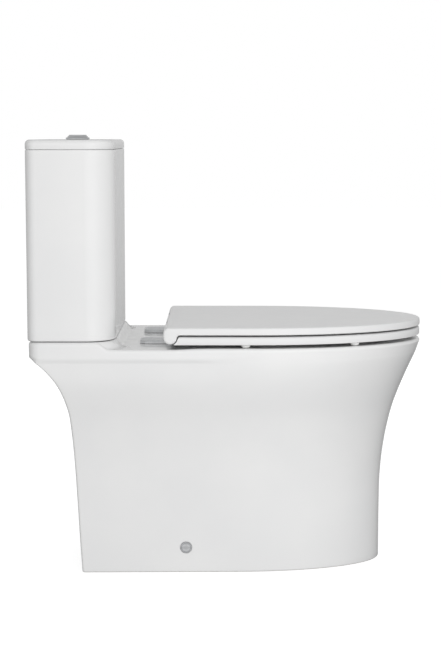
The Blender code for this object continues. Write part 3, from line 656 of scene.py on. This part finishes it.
def deck_height(x, y):
    """The top of the ledge: flat, with the plinth that rises close round the cistern's front."""
    aside = np.maximum(np.abs(x) - (TANK_HIGH.x - CORNER_FRONT), 0)
    ahead = np.maximum(TANK_LOW.y + CORNER_FRONT - y, 0)
    away = np.hypot(aside, ahead) - CORNER_FRONT
    share = np.clip((away - PLINTH_EDGE) / (PLINTH_FOOT - PLINTH_EDGE), 0, 1)
    crown = RIM_CROWN * (1 - smooth(y, 0.04, 0.1))
    return RIM_TOP + crown + (PLINTH_TOP - RIM_TOP) * (1 - smooth(share ** 0.8, 0, 1))


def pan_level(height):
    """The skirt at one height: its flare, half width, rear edge, the start of its nose, and its front."""
    flare, back = through(PAN_PROFILE, np.array([height]))[0]
    half = HALF - (HALF - FOOT_HALF) * (1 - flare) ** SIDE_FULLNESS
    bend = FOOT_BEND + (RIM_BEND - FOOT_BEND) * flare
    return flare, half, back, bend, FOOT_FRONT + (PAN_LOW.y - FOOT_FRONT) * flare


def pan_outline(height, inset=0.0):
    """The pan's outside at one height. Its side band stays upright at the rear and fades out forwards."""
    flare, skin, back, bend, front = pan_level(height)
    grown = float(smooth(height, BAND_START, BAND_END))
    drawn = float(smooth(height, BAND_START - BAND_DRAW, BAND_START))

    def half_at(y):
        taper = (FOOT_HALF_REAR - FOOT_HALF) * (1 - flare) * np.clip((y - bend) / (0.26 - bend), 0, 1)
        band = 1 - smooth(y, *BAND_FADE)
        plain = skin + taper - BAND_PROUD * band * drawn
        return plain + (HALF - plain) * band * grown - inset

    corner = EDGE_CORNER + (LEDGE_CORNER - EDGE_CORNER) * grown
    return d_outline(half_at, back - inset, corner, bend, front + inset, (0.245, 0.165), (6, 26, 20))


def pan_side_rings():
    rings = []
    for inset, drop in reversed(quarter(FOOT_ROUND, 4)):
        rings.append(at(drop, pan_outline(FOOT_ROUND, inset)))
    heights = [*np.linspace(0.012, 0.25, 20), *np.linspace(0.256, 0.37, 24)]
    heights += [*np.linspace(0.3715, BAND_START, 6), *np.linspace(BAND_START, BAND_END, 18)[1:]]
    for height in heights:
        rings.append(at(height, pan_outline(height)))
    edge = pan_outline(RIM_TOP, RIM_ROUND)
    top = deck_height(*edge.T)
    for share in np.linspace(0, 1, 7)[1:]:
        shape = pan_outline(BAND_END + (RIM_TOP - 0.003 - BAND_END) * share)
        rings.append(at(BAND_END + (top - RIM_ROUND - BAND_END) * share, shape))
    for inset, drop in quarter(RIM_ROUND, 8)[1:]:
        rings.append(at(top - drop, pan_outline(RIM_TOP, inset)))
    return rings


def bowl_rings(turns, top, outset, steps):
    heights = np.linspace(top, BOWL_PROFILE[0][0], steps)
    shapes = through(BOWL_PROFILE, heights)
    return [at(height, oval_at(turns, *shape, outset)) for height, shape in zip(heights, shapes)]


def make_block():
    """The pan as one solid mass with the bowl sunk into it."""
    edge = pan_outline(RIM_TOP, RIM_ROUND)
    mouth = BOWL_PROFILE[-1][1:]
    turns = turns_towards(edge, *mouth)
    lip = oval_at(turns, *mouth, LIP_ROUND)
    rings = pan_side_rings()
    for share in np.linspace(0, 1, 220)[1:]:
        ring = (1 - share) * edge + share * lip
        rings.append(at(deck_height(*ring.T), ring))
    for inset, drop in reversed(quarter(LIP_ROUND, 6)[:-1]):
        ring = oval_at(turns, *mouth, inset)
        rings.append(at(deck_height(*ring.T) - drop, ring))
    rings += bowl_rings(turns, RIM_TOP + RIM_CROWN - LIP_ROUND, 0.0, 46)[1:]
    bottom, *shape = BOWL_PROFILE[0]
    for share in (0.3, 0.6, 0.85):
        ring = oval_at(turns, *shape) * (1 - share) + np.array([0, (shape[1] + shape[2]) / 2]) * share
        rings.append(at(bottom - 0.004 * math.sin(share * math.pi / 2), ring))
    return stack("pan", rings)


def make_hollow():
    """The space inside the skirt, open at the floor and the back. The skirt's rear edges are round."""
    edge, roof, behind = 0.005, 0.008, 0.36
    levels = [(-0.01, 0.0, 0.0), (0.002, 0.002, 0.0)]
    levels += [(height, height, 0.0) for height in np.linspace(0.02, SLAB_BOTTOM - roof, 26)]
    levels += [(SLAB_BOTTOM - drop, SLAB_BOTTOM - roof, inset) for inset, drop in quarter(roof, 5)[1:]]
    rings = []
    for height, shape, inset in levels:
        _, half, back, bend, front = pan_level(shape)
        half, front = half - WALL - inset, front + WALL + inset
        side = np.linspace(back - edge, bend, 26)[1:-1]
        rings.append(at(height, mirrored(np.vstack([
            np.column_stack([np.linspace(0, half + edge, 9), np.full(9, behind)]),
            (half + edge, back - edge) + arc((0, 0), edge, 90, 180, 6),
            np.column_stack([np.full(len(side), half), side]),
            nose(half, bend, front, 36),
        ]))))
    return stack("hollow", rings)


def make_casting():
    """The bowl's outside, trapway, outlet and flush passage, run together softly as cast china is."""
    turns = np.linspace(0, 2 * math.pi, 64, endpoint=False)
    rings = bowl_rings(turns, 0.38, BOWL_WALL, 24)
    rings.append(at(0.147, oval_at(turns, *BOWL_PROFILE[0][1:])))
    casting = joined([
        stack("casting", rings),
        tube("trap", TRAP_PATH[1:], TRAP_BORE + TRAP_WALL),
        rod("spigot", (0, 0.2, OUTLET_Z), (0, OUTLET_END, OUTLET_Z), OUTLET_RADIUS),
        block("passage", (-0.036, -0.002, 0.343), (0.036, 0.326, 0.38)),
    ])
    remesh = casting.modifiers.new("remesh", "REMESH")
    remesh.mode = "VOXEL"
    remesh.voxel_size = CASTING_VOXEL
    relax = casting.modifiers.new("relax", "SMOOTH")
    relax.factor = 0.6
    relax.iterations = 9
    bpy.context.view_layer.update()
    return solve(casting)


def make_pan():
    under, over = 0.33, 0.43  # the upright holes run between these heights
    tools = [
        tube("trap_bore", TRAP_PATH, TRAP_BORE),
        rod("outlet_bore", (0, 0.222, OUTLET_Z), (0, 0.3, OUTLET_Z), OUTLET_BORE),
        upright("recess", VALVE, PLINTH_TOP - 0.024, over, 0.047, 0, 64),
        upright("flush_drop", VALVE, 0.357, 0.4, 0.021),
        block("flush_channel", (-0.022, -0.04, 0.355), (0.022, FLUSH_Y, 0.38)),
        upright("inlet_hole", centre_of("fill_valve_body").xy, under, over, 0.017),
    ]
    start, floor, bore, wide = 0.09, CAP_OUT - 0.0052, 0.0042, 0.0106
    profile = ((0, 0), (bore, 0), (bore, floor - start), (wide, floor - start), (wide, 0.07), (0, 0.07))
    for side, word in SIDES:
        for place in (centre_of(f"coupling_bolt_{word}").xy, (side * PLATE_X, BOLT_Y)):
            tools.append(upright("bolt_hole", place, under, over, 0.0058, 0, 24))
        turn = Matrix.Rotation(side * math.pi / 2, 4, "Y")
        tools.append(revolve("side_hole", profile, (side * start, CAP_Y, CAP_Z), 0.0, 48, turn))
    cavity = cut(make_hollow(), make_casting())
    return finish_mesh(cut(make_block(), cavity, *tools), 70)


# ---- cistern


def make_cistern():
    top, bottom, inner = TANK_HIGH.z, TANK_LOW.z, TANK_WALL
    levels = [(bottom, TANK_ROUND + 0.004)]
    levels += [(bottom + drop, inset) for inset, drop in reversed(quarter(TANK_ROUND, 6))]
    levels += [(z, 0.0) for z in np.linspace(bottom + 0.02, top - 0.008, 12)]
    levels += [*over_edge(top, 0.0018, 4), (top, 0.0035), (top, inner - 0.002)]
    levels += [(top - 0.0006, inner - 0.0006), (top - 0.002, inner), (TANK_FLOOR + 0.012, inner)]
    levels += [(TANK_FLOOR + drop, inner + inset) for inset, drop in quarter(0.008, 5)[1:]]
    levels.append((TANK_FLOOR, inner + 0.012))
    tank = layered("cistern", levels, tank_outline)
    holes = [upright("hole", VALVE, 0.4, 0.44, 0.0295)]
    fitted = (("fill_valve_body", 0.011), ("coupling_bolt_left", 0.0055), ("coupling_bolt_right", 0.0055))
    for node, radius in fitted:
        holes.append(upright("hole", centre_of(node).xy, 0.4, 0.44, radius, 0, 32))
    for x in (-0.105, 0.105):
        start, end = (x, TANK_HIGH.y - 0.02, 0.68), (x, TANK_HIGH.y + 0.01, 0.68)
        holes.append(rod("hole", start, end, 0.004, 0, 32))
    return cut(tank, *holes)


def make_cover():
    """The cistern's lid, with a lip that drops inside the cistern's walls."""
    lip = TANK_WALL + 0.002
    inner = lip + 0.008
    low, seat, high = COVER_LOW.z, COVER_SEAT, COVER_HIGH.z
    roof = seat + 0.005
    levels = [(roof, inner + 0.01), (roof, inner + 0.004), (roof - 0.001, inner + 0.001)]
    levels += [(roof - 0.004, inner), (low + 0.001, inner), (low, inner - 0.001), (low, lip + 0.001)]
    levels += [(low + 0.001, lip), (seat - 0.001, lip), (seat, lip - 0.0006), (seat, 0.0016)]
    levels += [(seat + 0.0004, 0.0005), (seat + 0.0014, 0.0), *over_edge(high, COVER_ROUND, 10)]
    levels += [(high, COVER_ROUND + 0.004), (high, 0.03)]
    cover = layered("cistern_lid", levels, tank_outline)
    return cut(cover, upright("hole", VALVE, 0.7, 0.78, 0.019))


def make_button_housing():
    foot = COVER_HIGH.z + GAP
    profile = [(0.0164, 0.748), (0.0164, 0.7578), (0.0176, 0.758), (0.0182, 0.7558), (0.0208, 0.7552)]
    profile += [(0.0212, 0.754), (0.0212, foot), (0.0186, foot), (0.0186, 0.726), (0.0172, 0.726)]
    profile.append((0.0172, 0.748))
    return revolve("button_housing", profile, (*VALVE, 0), 0.0005, 96)


def make_button(side, name):
    """Half of the round button with its push rod. The two halves meet along a thin split."""
    top, radius = CAD_BOX[1][2], 0.016
    levels = [(0.75, 0.0), *over_edge(top, 0.0014, 5), (top, 0.003)]
    turn = np.linspace(0, math.pi, 33)
    rings = []
    for height, inset in levels:
        reach = radius - inset
        y, x = reach * np.cos(turn), np.maximum(reach * np.sin(turn), GAP + 0.35 * inset)
        rings.append(np.column_stack([side * x, FLUSH_Y + y, np.full(33, height)]))
    button = stack(name, rings)
    stem = upright(f"{name}_rod", (side * 0.0075, FLUSH_Y), 0.663, 0.751, 0.0028, 0.0006, 24)
    show(button, name, "chrome", name)
    show(stem, name, "valve_plastic")


# ---- seat


def make_ring():
    """The seat ring: a loop of cross sections between its outer D and the oval hole."""
    rear = HINGE.y - 0.006
    turns = turns_towards(seat_outline(0.0, rear), *RING_HOLE)
    low = RING_BOTTOM
    outer = [(low, 0.0022), (low + 0.0006, 0.001), (low + 0.002, 0.0005)]
    outer += over_edge(RING_TOP, 0.0042, inset=0.0005)
    inner = over_edge(RING_TOP, 0.0045)[::-1]
    inner += [(low + 0.002, 0.0), (low + 0.0005, 0.0006), (low, 0.0018), (low, 0.0095)]
    inner.append((low + 0.0025, 0.0105))
    rings = [at(height, seat_outline(inset, rear)) for height, inset in outer]
    start, end = seat_outline(outer[-1][1], rear), oval_at(turns, *RING_HOLE, 0.0045)
    for share in np.linspace(0, 1, 14)[1:-1]:
        rings.append(at(RING_TOP, (1 - share) * start + share * end))
    rings += [at(height, oval_at(turns, *RING_HOLE, outset)) for height, outset in inner]
    for height, inset in ((low + 0.0025, 0.012), (low, 0.011)):
        rings.append(at(height, seat_outline(inset, rear)))
    ring = stack("seat_ring", rings, looped=True)
    cut(ring, extrusion("clearance", ring_end(), (-0.2, 0.2)))
    knuckles = []
    for side, _ in SIDES:
        near, far = side_span(side, KNUCKLE)
        knuckles.append(hinge_rod("knuckle", near, far, 0.0105, 0.0008, 64))
        knuckles.append(block("arm", (near, HINGE.y - 0.022, 0.4085), (far, HINGE.y, 0.4185)))
    fuse(ring, *knuckles)
    return cut(ring, hinge_rod("bore", -0.08, 0.08, PIN_RADIUS + GAP))


def turned_down(height, soft, radius, steps):
    """From a level height over a soft edge, then under and round the hinge to its rear, in (y, z)."""
    level = height - soft
    back = math.sqrt((radius + soft) ** 2 - (HINGE.z - level) ** 2)
    turn = math.degrees(math.atan2(level - HINGE.z, -back)) % 360
    edge = arc((HINGE.y - back, level), soft, 90, turn - 180, 12)
    return np.vstack([edge, arc((HINGE.y, HINGE.z), radius, turn, 360, steps)[1:]])


def ring_end():
    """The space round the hinge that the ring's end leaves free, in (y, z)."""
    edge = turned_down(RING_TOP, RING_END_ROUND, BARREL_CLEAR, 48)
    over = RING_TOP + 0.01
    return np.vstack([[(edge[0, 0], over)], edge, [(HINGE.y + BARREL_CLEAR, over)]])


def lid_roll():
    """The lid's rear edge, rolled down round the hinge from side to side."""
    soft, start = 0.009, HINGE.y - 0.03
    rear, top = HINGE.y + BARREL_RADIUS, LID_HIGH.z
    section = np.vstack([
        [(start, top), (start, LID_UNDER)],
        turned_down(LID_UNDER, 0.0065, BARREL_RADIUS, 40),
        arc((rear - soft, top - soft), soft, 0, 90, 12)[1:],
    ])
    loops = [slice_at(inset - HALF, inset_loop(section, drop)) for inset, drop in quarter(LID_TOP_ROUND)]
    loops += [loop * (-1, 1, 1) for loop in reversed(loops)]
    return stack("lid_roll", loops)


def make_lid():
    rear = HINGE.y - 0.012
    under, dish = LID_UNDER, LID_UNDER + 0.0045
    levels = [(dish, 0.016), (dish, 0.0135), (dish - 0.001, 0.0118), (under + 0.001, 0.0112), (under, 0.01)]
    levels += [(under, 0.0022), (under + 0.0004, 0.0008), (under + 0.0014, 0.0)]
    levels += [*over_edge(LID_HIGH.z, LID_TOP_ROUND), (LID_HIGH.z, 0.006), (LID_HIGH.z, 0.012)]
    rings = []
    for height, inset in levels:
        sunk = inset > 0.009 and height < LID_HIGH.z - 0.001
        rings.append(at(height, seat_outline(inset, DISH_REAR - inset if sunk else rear)))
    lid = stack("seat_lid", rings)
    fuse(lid, lid_roll())
    tools = []
    for side, _ in SIDES:
        start, end = side_span(side, SLOT)
        tools.append(hinge_rod("slot", start, end, BARREL_CLEAR, 0, 96))
        tools.append(block("under", (start, HINGE.y - 0.013, 0.4), (end, HINGE.y + 0.02, HINGE.z)))
        tools.append(block("notch", (start, HINGE.y + LID_NOTCH, 0.4), (end, HINGE.y + 0.03, 0.45)))
        tools.append(hinge_rod("bore", *side_span(side, (0.034, 0.102)), PIN_RADIUS + GAP))
    return cut(lid, *tools)


def make_buffers():
    """Small domed feet under the ring and under the lid."""
    for node in [n for n in frame["nodes"] if "_buffer_" in n]:
        low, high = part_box(node)
        if node.startswith("ring"):
            low.z = RIM_TOP + RIM_CROWN + GAP
        tall, radius = high.z - low.z, (high.x - low.x) / 2
        profile = ((0, 0), (0.6 * radius, 0), (radius, 0.4 * tall), (radius, tall), (0, tall))
        centre = Vector((*centre_of(node).xy, low.z))
        foot = revolve(node, profile, centre, 0.0012, 40)
        stretch = Matrix.Diagonal((1, (high.y - low.y) / (high.x - low.x), 1, 1))
        foot.data.transform(Matrix.Translation(centre) @ stretch @ Matrix.Translation(-centre))
        show(foot, "seat_lid" if node.startswith("lid") else "seat_ring", "rubber", node)


# ---- hinges and fixings


def plate_outline(x, inset):
    """A rectangle with round corners, as large as the frame's plate."""
    across = (PLATE_HIGH.x - PLATE_LOW.x) / 2 - PLATE_CORNER
    along = (PLATE_HIGH.y - PLATE_LOW.y) / 2 - PLATE_CORNER
    parts = []
    for number, (i, j) in enumerate(((1, 1), (-1, 1), (-1, -1), (1, -1))):
        centre = (x + i * across, PLATE_Y + j * along)
        parts.append(arc(centre, PLATE_CORNER - inset, 90 * number, 90 * (number + 1), 12))
    return np.vstack(parts)


def make_plate(side, word):
    """A smooth cover over the post's foot and the bolt's head. The post rises through its slot."""
    name, bottom = f"hinge_plate_{word}", RIM_TOP + GAP
    levels = [(bottom, 0.0004), (bottom + 0.0004, 0.0)]
    levels += [*over_edge(PLATE_TOP, PLATE_ROUND, 8), (PLATE_TOP, 0.005)]
    plate = layered(name, levels, lambda inset: plate_outline(side * PLATE_X, inset))
    within = ((RIM_TOP - 0.01, PLATE_WALL), (PLATE_TOP - PLATE_WALL, PLATE_WALL))
    inside = layered("inside", within, lambda inset: plate_outline(side * PLATE_X, inset + 0.0006))
    spare = 0.0004
    near, far = side_span(side, (POST[0] - spare, POST[1] + spare))
    neck = POST_NECK + spare
    slot = block("slot", (near, HINGE.y - neck, 0.395), (far, HINGE.y + neck, 0.415))
    show(cut(plate, inside, slot), "pan", "chrome", name)
    plate.data.materials[0] = FINISH["satin_chrome"]


def make_post(side, word):
    """The foot under the cover, and the upright that carries the pin."""
    place, foot = (side * PLATE_X, BOLT_Y), RIM_TOP + GAP
    section = np.array([
        (HINGE.y - POST_NECK, foot),
        (BOLT_Y, foot),
        (BOLT_Y, FOOT_TOP - GAP),
        (HINGE.y + POST_NECK, FOOT_TOP - GAP),
    ])
    section = np.vstack([section, arc((HINGE.y, HINGE.z), 0.01, -57, 237, 40)])
    name = f"hinge_post_{word}"
    post = extrusion(name, section, side_span(side, POST), 0.0006)
    fuse(post, upright("pad", place, foot + 0.0001, FOOT_TOP, 0.011, 0.0005))
    bore = hinge_rod("bore", side * 0.06, side * 0.1, PIN_RADIUS + GAP)
    cut(post, bore, upright("hole", place, 0.39, 0.41, 0.0045, 0, 32))
    return show(post, "pan", "chrome", name)


def make_hinge(side, word):
    make_plate(side, word)
    make_post(side, word)
    name = f"hinge_pin_{word}"
    show(hinge_rod(name, side * 0.036, side * 0.1, PIN_RADIUS, 0.0005, 32), "pan", "steel", name)
    head = FOOT_TOP + GAP
    profile = ((0, 0.345), (0.004, 0.345), (0.004, head), (0.0075, head), (0.0073, head + 0.0012))
    profile += ((0.005, head + 0.0018), (0, head + 0.0018))
    name = f"hinge_bolt_{word}"
    show(revolve(name, profile, (side * PLATE_X, BOLT_Y, 0), 0.0004, 48), "pan", "chrome", name)


def make_cap(side, word):
    """The round cap over the side screw: a raised rim, a groove and a shallow domed middle."""
    name = f"fixing_cap_{word}"
    low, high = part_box(name)
    deep = high.x - low.x
    profile = [(0, 0.002), (0.0072, 0.002), (0.0072, 0), (0.01, 0), (0.01, deep - 0.0014)]
    profile += [(0.0092, deep - 0.0004), (0.0083, deep - 0.0004), (0.0077, deep - 0.0014)]
    profile += [(0.0071, deep - 0.001), (0.004, deep - 0.0002), (0, deep)]
    turn = Matrix.Rotation(side * math.pi / 2, 4, "Y")
    inner_face = low.x if side > 0 else high.x
    cap = revolve(name, profile, (inner_face, CAP_Y, CAP_Z), 0.0005, 72, turn)
    show(cap, "pan", "chrome", name)


# ---- valves and fittings

INLET = (0.138, 0.262)
SEAT_Z = TANK_FLOOR + GAP  # what lies on the cistern's floor


def hoop(inner, outer, low, high):
    """The profile of a flat ring."""
    return ((inner, low), (outer, low), (outer, high), (inner, high))


# node, body, slot, axis (x, y), softness of the edges, (radius, height) profile
TURNED = (
    ("flush_valve_washer", "pan", "rubber", VALVE, 0.0005,
     hoop(0.029, 0.04, SEAT_Z, SEAT_Z + 0.0017)),
    ("doughnut_gasket", "pan", "rubber", VALVE, 0.002,
     ((0.0292, 0.389), (0.0292, 0.403), (0.04, 0.403), (0.045, 0.3985), (0.045, 0.3925),
      (0.042, 0.389))),
    ("overflow_tube", "flush_valve_tube", "valve_plastic", VALVE, 0.0006,
     ((0.015, 0.447), (0.026, 0.447), (0.026, 0.4495), (0.0185, 0.452), (0.0185, 0.654),
      (0.015, 0.654))),
    ("flush_seal", "flush_valve_tube", "rubber", VALVE, 0.0008,
     hoop(0.015, 0.0262, 0.4424, 0.4467)),
    ("fill_valve_body", "pan", "valve_plastic", INLET, 0.0006,
     ((0.005, 0.364), (0.0098, 0.364), (0.0098, SEAT_Z + 0.002), (0.0165, SEAT_Z + 0.002),
      (0.0165, SEAT_Z + 0.007), (0.009, SEAT_Z + 0.009), (0.009, 0.534), (0.0125, 0.534),
      (0.0125, 0.539), (0.009, 0.539), (0.009, 0.66), (0.015, 0.66), (0.015, 0.69),
      (0.005, 0.69))),
    ("fill_valve_washer", "pan", "rubber", INLET, 0.0005,
     hoop(0.0102, 0.0165, SEAT_Z, SEAT_Z + 0.0017)),
    ("fill_valve_float", "fill_valve_float", "valve_plastic", INLET, 0.002,
     hoop(0.0096, 0.023, 0.54, 0.595)),
)
BOLT = ((0, 0.345), (0.004, 0.345), (0.004, 0.4288), (0.01, 0.4288), (0.01, 0.432), (0.007, 0.4345),
        (0, 0.435))
BOLT_WASHER = ((0.0046, 0.4258), (0.0046, 0.4285), (0.0125, 0.4285), (0.0125, 0.4258))
# (x, z) outline of a wing nut's wing, from the nut's top
WING = ((0.006, -0.014), (0.016, -0.018), (0.0185, -0.016), (0.019, -0.006), (0.0175, -0.003),
        (0.006, -0.004))


def make_turned_fittings():
    rows = list(TURNED)
    for _, word in SIDES:
        axis = centre_of(f"coupling_bolt_{word}").xy
        rows.append((f"coupling_bolt_{word}", "pan", "steel", axis, 0.0006, BOLT))
        rows.append((f"coupling_washer_{word}", "pan", "rubber", axis, 0.0006, BOLT_WASHER))
    for node, body, slot, (x, y), soft, profile in rows:
        show(revolve(node, profile, (x, y, 0), soft, 64), body, slot, node)


def make_flush_valve_base():
    """The valve's flanged seat, its four pillars and the ring that joins them at the top."""
    profile = ((0.0205, 0.396), (0.0285, 0.396), (0.0285, SEAT_Z + 0.002), (0.04, SEAT_Z + 0.002))
    profile += ((0.04, SEAT_Z + 0.006), (0.027, SEAT_Z + 0.006), (0.025, 0.442), (0.0205, 0.442))
    base = revolve("flush_valve_base", profile, (*VALVE, 0), 0.0006, 64)
    head = revolve("head", hoop(0.02, 0.04, 0.64, 0.65), (*VALVE, 0))
    pillars = []
    for angle in (45, 135, 225, 315):
        x, y = 0.033 * math.cos(math.radians(angle)), 0.033 * math.sin(math.radians(angle))
        pillars.append(upright("pillar", (x, FLUSH_Y + y), 0.43, 0.645, 0.0032, 0, 24))
    show(fuse(base, head, *pillars), "pan", "valve_plastic", "flush_valve_base")


def make_nut(node, body, axis, bore, radius, low, high, flats):
    """A flat-sided nut with chamfered corners and a round bore."""
    soft = 0.0008
    levels = ((low, -soft), (low + soft, 0), (high - soft, 0), (high, -soft))
    turn = np.radians(np.arange(flats) * 360 / flats + 180 / flats)
    rings = []
    for height, grow in levels:
        reach = (radius + grow) / math.cos(math.pi / flats) * 0.97
        rings.append(at(height, np.column_stack([reach * np.cos(turn), reach * np.sin(turn)]) + axis))
    nut = stack(node, rings)
    cut(nut, upright("bore", axis, low - 0.01, high + 0.01, bore))
    show(nut, body, "valve_plastic", node)


def make_wing_nut(node):
    """A round nut with two flat wings, tightened by hand from below."""
    (x, y, _), top = centre_of(node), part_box(node)[1].z
    profile = ((0.0044, top - 0.013), (0.0044, top), (0.01, top), (0.008, top - 0.013))
    nut = revolve(node, profile, (x, y, 0), 0.0006, 48)
    wings = []
    for side, _ in SIDES:
        wings.append(plank("wing", np.array(WING) * (side, 1) + (x, top), (y - 0.0015, y + 0.0015)))
    show(fuse(nut, *wings), "pan", "valve_plastic", node)


def plank(name, section, ends):
    """An (x, z) section drawn out along Y."""
    x, z = section.T
    return stack(name, [np.column_stack([x, np.full(len(x), y), z]) for y in ends])


def make_nuts():
    make_nut("button_lock_nut", "cistern_lid", VALVE, 0.019, 0.027, 0.729, 0.736, 8)
    make_nut("flush_valve_nut", "pan", VALVE, 0.029, 0.04, 0.4035, 0.4131, 8)
    make_nut("fill_valve_nut", "pan", INLET, 0.0102, 0.016, 0.4032, 0.4131, 6)
    for _, word in SIDES:
        make_wing_nut(f"coupling_wing_nut_{word}")
        make_wing_nut(f"hinge_wing_nut_{word}")


def make_floor_block(side, word):
    """The block on the floor behind the skirt: an L with soft corners, a sideways bore and a floor hole."""
    name = f"floor_block_{word}"
    low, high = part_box(name)
    inner, outer = (low.x, high.x) if side > 0 else (high.x, low.x)
    rise = outer - side * (abs(outer) - 0.096)
    section = [(inner, 0.0), (outer, 0.0), (outer, 0.06), (outer - side * 0.002, 0.062)]
    section += [(rise + side * 0.002, 0.062), (rise, 0.06), (rise, 0.01), (rise - side * 0.0012, 0.0072)]
    section += [(rise - side * 0.004, 0.006), (inner, 0.006)]
    body = plank(name, np.array(section), (CAP_Y - 0.02, CAP_Y + 0.02))
    bore = rod("bore", (side * 0.08, CAP_Y, CAP_Z), (side * 0.13, CAP_Y, CAP_Z), 0.0034, 0, 24)
    hole = upright("hole", (side * 0.083, CAP_Y), -0.01, 0.02, 0.0035, 0, 24)
    show(cut(body, bore, hole), "pan", "valve_plastic", name)


# ---- stage


def make_floor():
    """Plain pale floor. It takes soft shadows, and the studio around it gives the light from below."""
    reach = 14.0
    corners = [(reach * i, reach * j, 0) for i, j in ((-1, -1), (1, -1), (1, 1), (-1, 1))]
    shader = Shader("floor", (0.3, 0.3, 0.3), 0.9)
    shader.colour(shader.cloud(3.0, 2.0, 0.3, 0.7), (0.29, 0.29, 0.29), (0.31, 0.31, 0.31))
    shader.feed(shader.main, Emission_Color=(1, 1, 1), Emission_Strength=0.84)
    floor = add_mesh("floor", corners, [(0, 1, 2, 3)])
    floor.data.materials.append(shader.material)
    floor.visible_glossy = False
    floor.visible_diffuse = False


def make_world():
    """White to the eye. As light it is a studio: bright low down on the near side, greyer behind."""
    world = bpy.data.worlds.new("studio")
    bpy.context.scene.world = world
    world.use_nodes = True
    tree = Tree(world.node_tree)
    place = tree.node("ShaderNodeSeparateXYZ", Vector=tree.node("ShaderNodeTexCoord").outputs["Generated"])
    height = tree.spread(place.outputs["Z"], -1.0, 1.0)
    ramps = []
    for stops in (STUDIO_NEAR, STUDIO_FAR):
        ramp = tree.node("ShaderNodeValToRGB", Fac=height)
        elements = ramp.color_ramp.elements
        elements.remove(elements[1])
        for number, (level, value) in enumerate(stops):
            stop = elements.new((level + 1) / 2) if number else elements[0]
            stop.position = (level + 1) / 2
            stop.color = (value, value, value, 1)
        ramps.append(ramp.outputs["Color"])
    start, end = STUDIO_TURN
    across = tree.node("ShaderNodeMapRange", Value=place.outputs["X"], From_Min=start, From_Max=end)
    across.interpolation_type = "SMOOTHSTEP"
    room = tree.feed(tree.nodes["Background"], Color=tree.mixed(across.outputs["Result"], *ramps))
    plain = tree.node("ShaderNodeBackground", Color=(1, 1, 1))
    seen = tree.node("ShaderNodeMixShader", Fac=tree.node("ShaderNodeLightPath").outputs["Is Camera Ray"])
    tree.feed(seen, _1=room.outputs["Background"], _2=plain.outputs["Background"])
    tree.feed(tree.nodes["World Output"], Surface=seen.outputs["Shader"])


def make_lamp(name, place, target, size, power):
    data = bpy.data.lights.new(name, "AREA")
    data.shape = "RECTANGLE"
    data.size, data.size_y = size
    data.energy = power
    lamp = add_object(name, data)
    lamp.location = place
    lamp.visible_glossy = False
    lamp.rotation_euler = (Vector(target) - Vector(place)).to_track_quat("-Z", "Y").to_euler()


def make_camera():
    data = bpy.data.cameras.new("camera")
    data.sensor_width = SENSOR
    data.lens = FOCAL_LENGTH * SENSOR
    camera = add_object("camera", data)
    camera.location = (-CAMERA_DISTANCE, CAMERA_Y, CAMERA_HEIGHT)
    camera.rotation_euler = (math.radians(90 - CAMERA_PITCH), 0, math.radians(-90))
    bpy.context.scene.camera = camera


def main():
    bpy.context.scene.view_settings.view_transform = "Standard"
    make_camera()
    make_world()
    make_floor()
    for lamp in LAMPS:
        make_lamp(*lamp)

    FINISH.update(china=make_china(), seat_plastic=make_seat_plastic(), chrome=make_chrome(),
                  satin_chrome=make_satin_chrome(), valve_plastic=make_valve_plastic(),
                  rubber=make_rubber(), steel=make_steel())

    show(make_pan(), "pan", "china", "pan")
    show(make_cistern(), "pan", "china", "cistern")
    show(make_cover(), "cistern_lid", "china", "cistern_lid")
    show(make_button_housing(), "cistern_lid", "chrome", "button_housing")
    make_button(1, "full_flush_button")
    make_button(-1, "half_flush_button")
    show(make_ring(), "seat_ring", "seat_plastic", "seat_ring")
    show(make_lid(), "seat_lid", "seat_plastic", "seat_lid")
    make_buffers()
    make_turned_fittings()
    make_flush_valve_base()
    make_nuts()
    for side, word in SIDES:
        make_hinge(side, word)
        make_cap(side, word)
        make_floor_block(side, word)

    for part in frame["record"]["subparts"]:
        for material_slot in frame["nodes"][part["node"]].material_slots:
            material_slot.material = FINISH[part["material_slot"]]


main()
